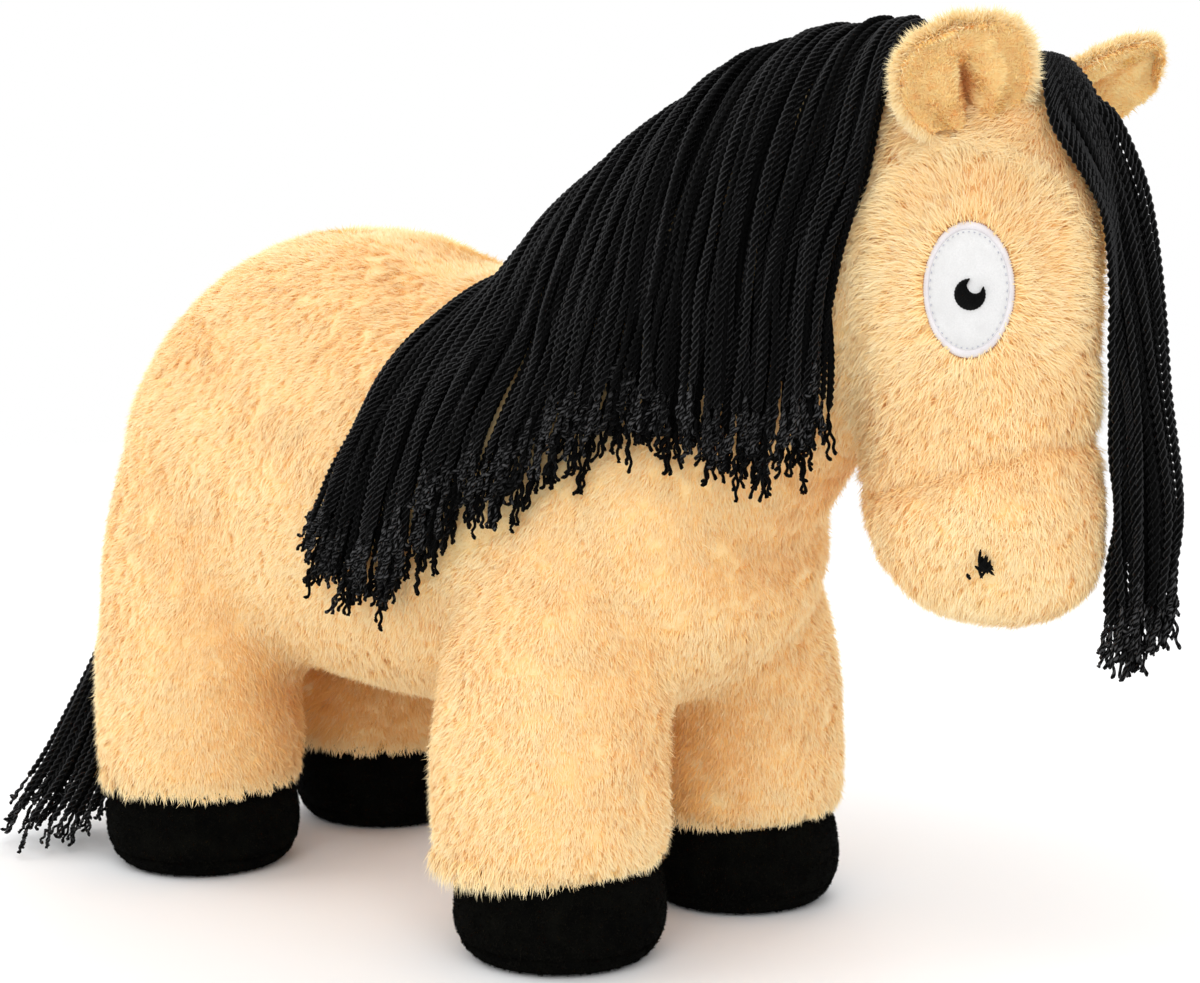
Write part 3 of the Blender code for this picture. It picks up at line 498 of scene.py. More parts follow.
def pile_pieces(name, made, mat, ride_on, most=64000):
    """Splits the blades along x into pieces of a size that a mesh file carries well."""
    verts, along, tone, deep = made
    count = len(verts) // BLADE_POINTS
    order = np.argsort(verts.reshape(count, BLADE_POINTS, 3)[:, 0, 0], kind="stable")
    parts = max(1, int(np.ceil(count / most)))
    found = []
    for k, chosen in enumerate(np.array_split(order, parts)):
        rows = (chosen[:, None] * BLADE_POINTS + np.arange(BLADE_POINTS)).ravel()
        base = (np.arange(len(chosen)) * BLADE_POINTS)[:, None, None]
        faces = (BLADE_FACES[None] + base).reshape(-1, 3)
        label = name if parts == 1 else name + "_" + "abcdefgh"[k]
        obj = mesh_piece(
            label, verts[rows], faces, mat, ride_on,
            {"along": along[rows], "shade": tone[rows], "deep": deep[rows]},
            np.stack([np.clip(0.02 + 0.5 * tone[rows] + 0.46 * deep[rows], 0, 1), along[rows]], axis=1),
        )
        found.append(obj)
    return found


def closed_in(points, normals, seed, rays=6, reach=0.11):
    """The share of the way out that the body itself blocks at each place."""
    draw = np.random.default_rng(seed)
    blocked = np.zeros(len(points))
    for _ in range(rays):
        ways = unit(normals * 1.1 + unit(draw.normal(size=points.shape)) + UP * 0.25)
        starts = points + normals * 0.004
        blocked += [
            SKIN_TREE.ray_cast(Vector(p), Vector(w), reach)[0] is not None for p, w in zip(starts, ways)
        ]
    return blocked / rays


def covered(points, normals, tree, reach):
    """Which places have a given solid within reach along their normals."""
    return np.array([
        tree.ray_cast(Vector(p - n * 0.006), Vector(n), reach + 0.006)[0] is not None
        for p, n in zip(points, normals)
    ])


MANE_TREE = bvh_of(["mane"])
LOCK_TREE = bvh_of(["forelock"])
TAIL_TREE = bvh_of(["tail"])
EAR_TREE = bvh_of(["right_ear_back", "left_ear_back"])

centre_shift = body_verts[body_tris].mean(axis=1)
tri_region = body_region[body_tris[:, 0]]
weight = np.ones(len(body_tris))
weight[np.isin(tri_region, [2, 3])] = 1.35
low = centre_shift[:, 2] < 0.0335
leg_ids = [BODY_PARTS.index(leg + "_leg") for leg in LEGS]
weight[low & np.isin(tri_region, leg_ids)] = 0
CLUMPS = 86000
spots, spot_normals, chosen = sample(body_verts, body_norms, body_tris, weight, CLUMPS, 11)
region = tri_region[chosen]

keep = ~covered(spots, spot_normals, EAR_TREE, 0.004)
for side in (-1, 1):
    keep &= eye_share(spots, side) > 0.93
nostril_at = {side: first_hit(HEAD_TREE, (NOSTRIL_X, side * 0.2, NOSTRIL_Z), (0, -side, 0)) for _, side in SIDES}
spots, spot_normals, region = spots[keep], spot_normals[keep], region[keep]
under_mane = covered(spots, spot_normals, MANE_TREE, 0.012)
mane_front = 0.146 - 0.010 * smooth((0.29 - spots[:, 2]) / 0.10)
under_mane &= (spots[:, 0] < mane_front) & (spots[:, 0] > -0.012 + (0.20 - spots[:, 2]) * 0.2)
under_mane &= spots[:, 0] > 0.5 * (spots[:, 2] - 0.200)
under_lock = covered(spots, spot_normals, LOCK_TREE, 0.016)
under_tail = covered(spots, spot_normals, TAIL_TREE, 0.012)

is_head = region == 2
is_muzzle = region == 3
nap = np.tile(np.array((-0.42, 0.0, -1.0)), (len(spots), 1))
nap[:, 0] += waves(spots, 0.05, 21) * 0.30
nap[:, 1] += waves(spots, 0.05, 22) * 0.30
nap[np.isin(region, leg_ids), 0] *= 0.5
nap[is_head | is_muzzle, 0] *= 0.3
for side in (-1, 1):
    rel = spots - eye_hits[side]
    far = np.linalg.norm(rel, axis=1)
    pull = (smooth((0.050 - far) / 0.030) * (is_head | is_muzzle) * (spots[:, 1] * side > 0))[:, None]
    nap = nap * (1 - pull) + unit(rel) * pull * 1.2
brow = smooth((spots[:, 2] - 0.235) / 0.04) * is_head
nap[:, 2] += brow * 0.8
length = np.full(len(spots), 0.0047)
length[is_head] = 0.0058 + 0.0014 * smooth((spots[is_head, 2] - 0.19) / 0.05)
length[is_muzzle] = 0.0048
length *= 1 + waves(spots, 0.02, 31) * 0.10
lean = np.full(len(spots), 0.72) + waves(spots, 0.012, 32) * 0.05
lean[is_head] -= 0.06
off_mouth = np.abs(spots[:, 2] - mouth_height(spots[:, 0])) / 0.0024
in_mouth = np.exp(-off_mouth ** 2) * ((is_head | is_muzzle) & (spots[:, 0] > 0.150))
length *= 1 - 0.22 * in_mouth
near_top = np.flatnonzero(spots[:, 2] > 0.255)
from_ear = np.array([EAR_TREE.find_nearest(Vector(spots[k]))[3] for k in near_top])
length[near_top] *= 0.60 + 0.40 * smooth(from_ear / 0.009)
for side in (-1, 1):
    near = np.exp(-(np.linalg.norm(spots - nostril_at[side], axis=1) / 0.0042) ** 2)
    length *= 1 - 0.85 * near
length[under_mane | under_tail] *= 0.45
lean[under_mane | under_tail] = 0.95
length[under_lock] *= 0.7
# shade: random tone of the clumps, plus painted shade along the mouth crease from in_mouth.
shade = 0.18 + waves(spots, 0.010, 41) * 0.12 + waves(spots, 0.035, 42) * 0.08 + in_mouth * 0.42
shade += np.where(is_head, 0.05 + 0.10 * (waves(spots, 0.006, 43) > 0.9), 0)
shade = np.clip(shade, 0, 1)
# Painted shade: deep darkens the pile where the body closes it in, along the mouth crease, under the forelock and
# under the mane.
deep = closed_in(spots, spot_normals, 45, 6)
deep = np.clip(deep * 1.35 + 0.04 + in_mouth * 0.26 + under_lock * 0.3 + under_mane * 0.5, 0, 1)


def hem_clumps(leg, count, seed):
    """Places round a leg's hem whose pile hangs over the hoof, lowest at the rear and outside."""
    draw = np.random.default_rng(seed)
    end = 1 if leg.startswith("front") else -1
    side = -1 if leg.endswith("right") else 1
    turn = draw.uniform(0, 2 * pi, count)
    out = np.stack([np.cos(turn), np.sin(turn), 0 * turn], axis=1)
    z = draw.uniform(0.0318, 0.0372, count)
    middle = np.array((LEG_MIDDLE_X + end * LEG_APART_X - (0.006 if end > 0 else 0), side * LEG_Y, 0))
    points = middle + out * 0.0348 + UP * z[:, None]
    low = np.clip((out @ unit(np.array((-1.0, side * 0.6, 0)))) * 0.5 + 0.5, 0, 1)
    return points, out, 0.0034 + (0.0064 if leg == "front_right" else 0.0032) * low


hems = [hem_clumps(leg, 620, 300 + k) for k, leg in enumerate(LEGS)]
for index, part in enumerate(BODY_PARTS):
    mine = region == index
    given = [spots[mine], spot_normals[mine], nap[mine], length[mine], lean[mine], shade[mine], deep[mine]]
    if index in leg_ids:
        at, out, long = hems[index - 4]
        # The hem's pile gets a fixed tone of 0.15 and a little painted shade, deep 0.1.
        given = [np.concatenate(pair) for pair in zip(given, [
            at, out, np.tile((0.0, 0.0, -1.0), (len(at), 1)), long,
            np.full(len(at), 0.93), np.full(len(at), 0.15), np.full(len(at), 0.1),
        ])]
    made = blades(*given, 0.00026, 0.0020, 100 + index)
    pile = pile_pieces(part + "_pile", made, PLUSH_FUR, "horse_body")
    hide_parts(part + "_cover")


# Yarn.

def spun(path, out, radius, pitch, phase, sides=6, rings=None, dip=0.58, blunt=False):
    """A twisted strand along a path, its section a star that turns with the twist."""
    path = np.asarray(path, dtype=float)
    run = run_along(path)
    rings = rings or max(6, int(run[-1] / pitch * 10))
    at = np.linspace(0, run[-1], rings)
    line = softened(places_at(at, run, path), 0 if blunt else 2)
    ahead = unit(np.gradient(line, axis=0))
    n = unit(out - (ahead * out).sum(axis=1, keepdims=True) * ahead)
    b = np.cross(ahead, n)
    turn = at[:, None] / pitch * 2 * pi + phase + np.arange(sides)[None] * 2 * pi / sides
    size = np.where(np.arange(sides) % 2 == 0, 1.0, dip) * radius
    grow = np.ones(rings)
    grow[0] = grow[-1] = 0.35
    if blunt:
        grow[-3:] = (1.2, 1.35, 0.7)
    ring = n[:, None] * np.cos(turn)[..., None] + b[:, None] * np.sin(turn)[..., None]
    ring = ring * (size[None] * grow[:, None])[..., None]
    verts = (line[:, None] + ring).reshape(-1, 3)
    a = np.arange(rings - 1)[:, None] * sides + np.arange(sides)[None]
    c = np.arange(rings - 1)[:, None] * sides + (np.arange(sides)[None] + 1) % sides
    quads = np.stack([a, c, c + sides, a + sides], axis=-1).reshape(-1, 4)
    lobes = np.tile(np.where(np.arange(sides) % 2 == 0, 1.0, 0.0), rings)
    along = np.repeat(at / run[-1], sides)
    return verts, quads, along, lobes, line


class Hank:
    """Collects strands into meshes."""

    def __init__(self):
        self.verts, self.faces, self.along, self.shade, self.count = [], [], [], [], 0

    def strand(self, path, out, radius, pitch, phase, tone=1.0, **more):
        verts, quads, along, lobes, line = spun(path, out, radius, pitch, phase, **more)
        self.verts.append(verts)
        self.faces.append(quads + self.count)
        self.along.append(along)
        # shade: painted highlight on the ply lobes and painted shade in the valleys, times the strand's tone.
        self.shade.append(np.clip((0.25 + 0.75 * lobes) * tone, 0, 1))
        self.count += len(verts)
        return line

    def frayed(self, path, out, radius, pitch, phase, draw, tone=1.0, fray=0.014, **more):
        """A strand whose end opens into its plies, each ending in a small curl."""
        path = np.asarray(path, dtype=float)
        run = run_along(path)
        stop = run[-1] - fray
        keep = run < stop
        cutpoint = places_at(stop, run, path)
        self.strand(np.vstack([path[keep], cutpoint]), out, radius, pitch, phase, tone, **more)
        ahead = unit(path[-1] - path[-3])
        side = unit(np.cross(ahead, out))
        for k in range(3):
            swing = draw.normal(size=3) * 0.16
            drift = unit(ahead - UP * 0.25 + side * (swing[0] + (k - 1) * 0.13) + out * (swing[1] * 0.5 + 0.05))
            n = 20
            s = np.linspace(0, 1, n)[:, None]
            size = fray * draw.uniform(0.75, 1.15)
            crimp = s * 2 * pi * draw.uniform(2.2, 3.4) + draw.uniform(0, 6)
            wide = 0.00042 * smooth(s * 3)
            mix = smooth(s * 1.6)
            points = cutpoint + (ahead * (1 - mix) + drift * mix) * s * size
            points = points + side * np.sin(crimp) * wide + out * np.cos(crimp) * wide
            curl = draw.uniform(-1, 1)
            points[-3:] += (UP * 0.9 + side * curl)[None] * np.array((0.0002, 0.0007, 0.0013))[:, None]
            self.strand(points, out, 0.00052, pitch * 0.5, phase + k, tone, sides=5, rings=n, dip=1.0, blunt=True)

    def pieces(self, name, ride_on, most=48000):
        """One object for each so many faces, whole strands together."""
        found, start = [], 0
        group, total = [], 0
        groups = []
        for k, faces in enumerate(self.faces):
            if total + len(faces) > most and group:
                groups.append(group)
                group, total = [], 0
            group.append(k)
            total += len(faces)
        groups.append(group)
        for g, members in enumerate(groups):
            verts = np.vstack([self.verts[k] for k in members])
            first = self.faces[members[0]].min()
            faces = np.vstack([self.faces[k] for k in members]) - first
            along = np.concatenate([self.along[k] for k in members])
            shade = np.concatenate([self.shade[k] for k in members])
            label = name if len(groups) == 1 else name + "_" + "abcdefghijkl"[g]
            obj = mesh_piece(
                label, verts, faces, YARN, ride_on, {"along": along, "shade": shade},
                uv=np.stack([shade, along], axis=1),
            )
            found.append(obj)
        return found


WITHERS_Z = 0.2235
NECK_HALF = 0.058
MANE_REAR_X = 0.004
MANE_LENGTH = 0.146
MANE_SWEEP = 0.036
MANE_HEM_Z = 0.113
MANE_HEM_RISE = 0.062
MANE_HEM_SHARES = [0.24, 0.07, 0.04, 0.31, 0.55, 0.59, 0.84, 0.98, 1.0, 0.94, 0.84, 0.85, 0.97]
CREST_END = 0.1485
CREST_TREE = bvh_of(["torso_cover", "neck_cover", "front_right_leg_cover", "head_cover"])


def crest_height(x):
    return CREST_TREE.ray_cast(Vector((min(x, CREST_END), 0, 0.5)), Vector((0, 0, -1)))[0].z


def drape(x, turn, z, crest, lift):
    out = Vector((0, -sin(turn), cos(turn)))
    start = Vector((x, 0, min(z, crest - NECK_HALF)))
    hit = CREST_TREE.ray_cast(start + out * 0.25, -out, 0.25)[0]
    return np.array(hit + out * lift) if hit else None


def mane_path(share, lift, drop, lean_x, rows=34):
    """A strand's line: over the crest and down the neck's right side to its hem."""
    root_x = MANE_REAR_X + MANE_LENGTH * share
    hem_x = (root_x - MANE_SWEEP * (1 - share) - 0.0090 * smooth((0.5 - share) / 0.5)
             - 0.0105 * smooth((share - 0.55) / 0.45) + lean_x)
    hem_z = MANE_HEM_Z + MANE_HEM_RISE * np.interp(share, np.linspace(0, 1, 13), MANE_HEM_SHARES) + drop
    crest = crest_height(root_x)
    middle = crest - NECK_HALF
    turning = rows // 2
    start = radians(-5.5)
    points, outs = [], []
    reach = 0.0
    for i in range(rows):
        s = i / (rows - 1)
        x = (root_x + (hem_x - root_x) * s ** 1.15
             + 0.0062 * smooth((share - 0.82) / 0.18) * bump(s, 0.30, 0.30))
        if i < turning:
            turn = start + (pi / 2 - start) * i / turning
            z = middle + (crest - middle) * cos(turn)
        else:
            turn = pi / 2
            z = middle + (hem_z - middle) * (i - turning) / (rows - 1 - turning)
        local = crest_height(x) if z > middle else crest
        rise = 1.0 + (0.54 * smooth((share - 0.22) / 0.40) - 0.60) * max(0.0, 1 - i / 12)
        off = (lift * rise + 0.0016
               - 0.0012 * max(0.0, 1 - i / 12) * (1 - 0.9 * smooth((share - 0.45) / 0.25)))
        p = drape(min(x, CREST_END), turn, min(z, local), local, off)
        beyond = drape(x, turn, min(z, local), local, off) if x > CREST_END else None
        if beyond is not None and (p is None or beyond[1] < p[1]):
            p = beyond
        if p is None:
            p = points[-1] + np.array((0, 0, -0.004))
        p[0] = x
        reach = min(reach, p[1])
        if turn >= pi / 2:
            p[1] = reach
        points.append(p)
        outs.append((0, -sin(turn), cos(turn)))
    points = softened(np.array(points), 3)
    points[:, 2] = fuller(points)[:, 2]
    return points, np.array(outs)


def even_rows(paths):
    """Softens sudden steps between neighbouring strands."""
    y = paths[:, :, 1]
    for _ in range(3):
        beside = np.minimum(y[:-2], y[2:])
        y[1:-1] = np.minimum(y[1:-1], y[1:-1] + (beside - y[1:-1]) / 2)
    return paths


draw = np.random.default_rng(77)
mane = Hank()
# Each layer: lift, strand count, tone, drop, thickness, rings. The lower layers' smaller tone is painted shade under
# the upper ones.
MANE_LAYERS = (
    (0.0006, 96, 0.30, -0.006, 0.0015, 60), (0.0018, 66, 0.7, -0.002, 0.00112, None),
    (0.0036, 78, 0.9, 0.001, 0.00112, None), (0.0056, 62, 1.0, 0.004, 0.00112, None),
)
for lift, count, tone, drop, thick, rings in MANE_LAYERS:
    shares = ((np.arange(count) + 0.5) / count) ** 1.12
    shares = np.concatenate([shares + draw.normal(size=count) * 0.004, draw.uniform(1.0, 1.03, 3)])
    locks = shares if rings else np.round(shares * 17 + draw.normal(size=len(shares)) * 0.3) / 17
    made, outs = [], []
    for share, lock in zip(shares, locks):
        path, out = mane_path(
            share, lift, drop + draw.normal() * 0.0042, (lock - share) * 0.085 + draw.normal() * 0.0030)
        made.append(path)
        outs.append(out)
    made = even_rows(np.array(made))
    for path, out in zip(made, outs):
        s = np.linspace(0, 1, len(path))
        wobble = np.sin(s * draw.uniform(3, 7) + draw.uniform(0, 6)) * 0.0016
        wobble += np.sin(s * draw.uniform(9, 20) + draw.uniform(0, 6)) * 0.0006
        path[:, 0] += wobble * smooth(s * 4)
        path += out * (draw.normal() * 0.0005 + np.sin(s * draw.uniform(4, 9) + draw.uniform(0, 6)) * 0.0006)[:, None]
        mane.frayed(
            path, np.array((0.0, -1.0, 0.45)), thick * draw.uniform(0.88, 1.12), 0.0070, draw.uniform(0, 6), draw,
            tone * draw.uniform(0.74, 1.1), rings=rings,
        )
mane_pieces = mane.pieces("mane_strands", "mane_yarn")
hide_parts("mane")

FORELOCK_PATH = [
    (0.0, 0.0, -0.022), (0.033, -0.013, -0.044), (0.078, -0.034, -0.090),
    (0.092, -0.024, -0.130), (0.106, 0.038, -0.235), (0.124, 0.070, -0.38), (0.146, 0.080, -0.537), (0.163, 0.086, -0.72), (0.159, 0.088, -0.86), (0.156, 0.089, -0.975),
]
FORELOCK_WIDTHS = [0.50, 0.60, 0.82, 1.10, 1.06, 0.90, 0.76, 0.98, 0.80, 0.74]
FORELOCK_DEPTHS = [0.36, 0.44, 0.50, 0.50, 0.62, 0.80, 1.0, 1.0, 0.90, 0.76]
FORELOCK_LENGTH = 0.192


def bundle(name, ride_on, root, path, length, half_wide, half_deep, turn, count, radius,
           pitch, seed, replaced, rest_on, fray=0.012):
    """A lock of strands that fill an oval about a line."""
    draw = np.random.default_rng(seed)
    places = root + np.array(path) * length
    fine = np.linspace(0, len(path) - 1, 60)
    line = softened(places_at(fine, np.arange(len(path)), places), 6)
    wides = np.interp(fine, np.arange(len(path)), half_wide)
    deeps = np.interp(fine, np.arange(len(path)), half_deep)
    ahead = unit(np.gradient(line, axis=0))
    share = np.minimum(1, fine / 4)[:, None]
    side = np.array((0, 1.0, 0)) * (1 - share) + np.array((cos(turn), sin(turn), 0)) * share
    side = unit(side - (side * ahead).sum(axis=1, keepdims=True) * ahead)
    deep = np.cross(ahead, side)
    hank = Hank()
    for k in range(count):
        far = ((k + 0.5) / count) ** 0.5
        angle = k * GOLDEN_ANGLE + draw.uniform(-0.3, 0.3)
        cross = far * cos(angle), far * sin(angle)
        s = np.linspace(0, 1, len(line))
        swirl = np.sin(s * draw.uniform(3, 7) + draw.uniform(0, 6))
        swirl = swirl * (0.16 * smooth(s * 3) + 0.16 * smooth((s - 0.55) * 3))
        a = side * ((cross[0] + swirl) * (wides - radius))[:, None]
        b = deep * ((cross[1] + swirl * 0.5) * (deeps - radius))[:, None]
        stop = len(line) - int(draw.integers(0, 4) + 4 * (draw.random() < 0.15) + 6 * max(0.0, cross[0]) ** 2)
        path = line + a + b
        for i in range(2, len(path)):
            core = np.array((HEAD_X, 0.0, min(path[i, 2], 0.250)))
            ray = unit(path[i] - core)
            hit = rest_on.ray_cast(Vector(core + ray * 0.2), Vector(-ray))[0]
            if hit is not None:
                clear = radius + 0.0024 + 0.0014 * smooth((path[i, 2] - 0.19) / 0.03)
                need = np.linalg.norm(np.array(hit) - core) + clear * min(1.0, i / 5)
                path[i] = core + ray * max(need, np.linalg.norm(path[i] - core))
        path = softened(path, 2)
        out = unit(side.mean(axis=0) * cross[0] + deep.mean(axis=0) * cross[1] + 1e-6)
        # Strands nearer the lock's middle get a lower tone: painted shade inside the lock.
        hank.frayed(path[:stop], out, radius, pitch, draw.uniform(0, 6), draw, 0.55 + 0.45 * far, fray)
    made = hank.pieces(name, ride_on)
    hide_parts(replaced)


HEAD_TOP = bvh_of(["head_cover"])
lock_top = first_hit(HEAD_TOP, (HEAD_X + 0.019, 0.001, 0.5), DOWN)
lock_root = lock_top + UP * (0.015 / 2 * 0.36 + 0.0016 + 0.0012)
bundle(
    "forelock_strands", "forelock_yarn", lock_root, FORELOCK_PATH, FORELOCK_LENGTH,
    np.array(FORELOCK_WIDTHS) * 0.0125, np.array(FORELOCK_DEPTHS) * 0.008, radians(41), 56, 0.00122, 0.0080, 5,
    "forelock", HEAD_TREE, fray=0.016,
)

TAIL_PATH = [
    (0.0, 0.0, 0.0), (-0.038, -0.006, -0.002), (-0.052, -0.028, -0.09), (-0.030, -0.085, -0.34),
    (-0.014, -0.18, -0.60), (-0.018, -0.30, -0.83), (-0.030, -0.42, -0.985),
]
TAIL_SIZES = np.array([0.28, 0.42, 0.54, 0.60, 0.68, 0.88, 1.06]) * 0.025
TAIL_STRANDS = 72
dock = first_hit(bvh_of(["torso_cover"]), (-0.4, 0, DOCK_Z), (1, 0, 0)) - np.array((0.0031, 0, 0))


def make_tail():
    draw = np.random.default_rng(31)
    fall = DOCK_Z - 0.0015
    places = dock + np.array(TAIL_PATH) * fall
    fine = np.linspace(0, 6, 60)
    line = softened(places_at(fine, np.arange(7), places), 6)
    sizes = np.interp(fine, np.arange(7), TAIL_SIZES)
    hank = Hank()
    for k in range(TAIL_STRANDS):
        far = ((k + 0.5) / TAIL_STRANDS) ** 0.5
        angle = k * GOLDEN_ANGLE
        s = np.linspace(0, 1, len(line))
        swirl = np.sin(s * draw.uniform(3, 6) + draw.uniform(0, 6)) * 0.14 * s
        a = np.array((0, 1.0, 0)) * ((far * cos(angle) + swirl) * (sizes - 0.0012))[:, None]
        lift = unit(np.stack([-1 + 0 * s, 0 * s, np.maximum(0, 1 - fine)], axis=1))
        b = lift * ((far * sin(angle) + swirl * 0.5) * (sizes - 0.0012))[:, None]
        stop = len(line) - int(draw.integers(0, 7))
        path = (line + a + b)[:stop]
        path[:, 2] = np.maximum(path[:, 2], 0.0025)
        out = unit(np.array((-far * sin(angle), far * cos(angle), 0.02)))
        # Strands nearer the tail's middle get a lower tone: painted shade inside the tail.
        hank.frayed(path, out, 0.00125, 0.0080, draw.uniform(0, 6), draw, 0.55 + 0.45 * far, 0.012)
    for v in hank.verts:
        v[:, 2] = np.maximum(v[:, 2], 0.0004)
    made = hank.pieces("tail_strands", "tail_yarn")
    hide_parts("tail")


make_tail()


# Hooves.

HOOF_PROFILE = [
    (0.0, 0.0), (0.66, 0.0), (0.74, 0.008), (0.81, 0.035), (0.87, 0.09), (0.918, 0.155), (0.938, 0.195),
    (0.925, 0.215), (0.925, 0.225), (0.952, 0.245), (0.975, 0.30), (0.992, 0.38), (1.0, 0.50), (0.997, 0.62),
    (0.985, 0.75), (0.965, 0.87), (0.935, 0.97), (0.88, 1.03), (0.70, 1.07), (0.0, 1.09),
]


def lathe(profile, radius, height, segments):
    rings = []
    for r, h in profile:
        turn = np.arange(segments) * 2 * pi / segments
        rings.append(np.stack(
            [np.cos(turn) * r * radius, np.sin(turn) * r * radius, np.full(segments, h * height)], axis=1))
    verts = np.vstack(rings)
    faces = []
    for i in range(len(profile) - 1):
        a = i * segments + np.arange(segments)
        b = i * segments + (np.arange(segments) + 1) % segments
        faces.append(np.stack([a, b, b + segments, a + segments], axis=1))
    return verts, np.vstack(faces)


def hoof_profile():
    marks = np.array(HOOF_PROFILE)
    run = np.concatenate([[0], np.cumsum(np.hypot(*np.diff(marks, axis=0).T))])
    fine = np.unique(np.concatenate([run, np.linspace(0, run[-1], 60)]))
    r, h = np.interp(fine, run, marks[:, 0]), np.interp(fine, run, marks[:, 1])
    r = np.concatenate([[0.02], r[1:-1], [0.02]])
    return list(zip(r, h))


for leg in LEGS:
    end = 1 if leg.startswith("front") else -1
    side = -1 if leg.endswith("right") else 1
    place = np.array((LEG_MIDDLE_X + end * LEG_APART_X, side * LEG_Y, 0))
    verts, faces = lathe(hoof_profile(), HOOF_RADIUS, HOOF_HEIGHT, 96)
    verts = verts + place
    skin = mesh_piece(leg + "_hoof", verts, faces, VELOUR, "horse_body")
    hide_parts(leg + "_hoof_cover", leg + "_hoof_sole")
    tris = halved(faces)
    norms = point_normals(verts, tris)
    height = verts[tris].mean(axis=1)[:, 2]
    weight = ((height > 0.0008) & (height < 0.0305)).astype(float)
    number = 5200
    p, n, _ = sample(verts, norms, tris, weight, number, 400 + end * 2 + side)
    stray = np.stack([waves(p, 0.02, 51), waves(p, 0.02, 52), 0 * p[:, 0]], axis=1)
    nap_dir = np.tile(np.array((0.0, 0.0, -1.0)), (number, 1)) + stray * 0.3
    made = blades(
        p, n, nap_dir, np.full(number, 0.0013), np.full(number, 0.45),
        np.clip(0.3 + waves(p, 0.008, 53) * 0.3, 0, 1), np.zeros(number),
        0.00030, 0.0011, 440 + end * 2 + side, per_clump=4, ragged=0.3,
    )
    pile_pieces(leg + "_hoof_pile", made, VELOUR_FUR, "horse_body")


# Eyes and nostrils.

def on_head(side, flat, lift, origin):
    """Places on the head at offsets (across, up) from an origin, lifted off it along the eye's facing."""
    facing = np.array((cos(EYE_TURN), side * sin(EYE_TURN), 0))
    across = np.cross(UP, facing)
    points = []
    for (u, v), h in zip(flat, lift):
        start = origin + across * u + UP * v
        hit = SKIN_TREE.ray_cast(Vector(start + facing * 0.08), Vector(-facing))[0]
        points.append(np.array(hit) + facing * h)
    return np.array(points)


def grid_faces(rows, columns, closed):
    a = np.arange(rows - 1)[:, None] * columns
    k = np.arange(columns if closed else columns - 1)[None]
    b = (k + 1) % columns
    return np.stack([a + k, a + b, a + b + columns, a + k + columns], axis=-1).reshape(-1, 4)


def dome(side, origin, half_wide, half_tall, profile, segments, name, mat):
    """An oval built in rings, each a share of the outline with its own lift; the last rings turn under."""
    turn = np.arange(segments) * 2 * pi / segments
    flat, lift = [], []
    for share, h in profile:
        for t in turn:
            flat.append((half_wide * share * cos(t), half_tall * share * sin(t)))
            lift.append(h)
    verts = on_head(side, flat, lift, origin)
    return mesh_piece(name, verts, grid_faces(len(profile), segments, True), mat, "horse_body")


def thread_bits(name, ends, radius, mat, ride_on="horse_body"):
    """Short stitches, each a small bowed capsule from one place to another."""
    verts, faces = [], []
    sides, rings = 6, 6
    count = 0
    for a, b, out in ends:
        s = np.linspace(0, 1, rings)
        line = a + (b - a) * s[:, None] + out * (np.sin(s * pi) * radius * 1.2)[:, None]
        ahead = unit(b - a)
        n = unit(out - ahead * (out @ ahead))
        bi = np.cross(ahead, n)
        size = radius * np.sqrt(np.clip(1 - (2 * s - 1) ** 4, 0.02, 1))
        turn = np.arange(sides) * 2 * pi / sides
        ring = n[None, None] * np.cos(turn)[None, :, None] + bi[None, None] * np.sin(turn)[None, :, None]
        ring = ring * size[:, None, None]
        verts.append((line[:, None] + ring).reshape(-1, 3))
        faces.append(grid_faces(rings, sides, True) + count)
        count += rings * sides
    obj = mesh_piece(name, np.vstack(verts), np.vstack(faces), mat, ride_on)
    return obj


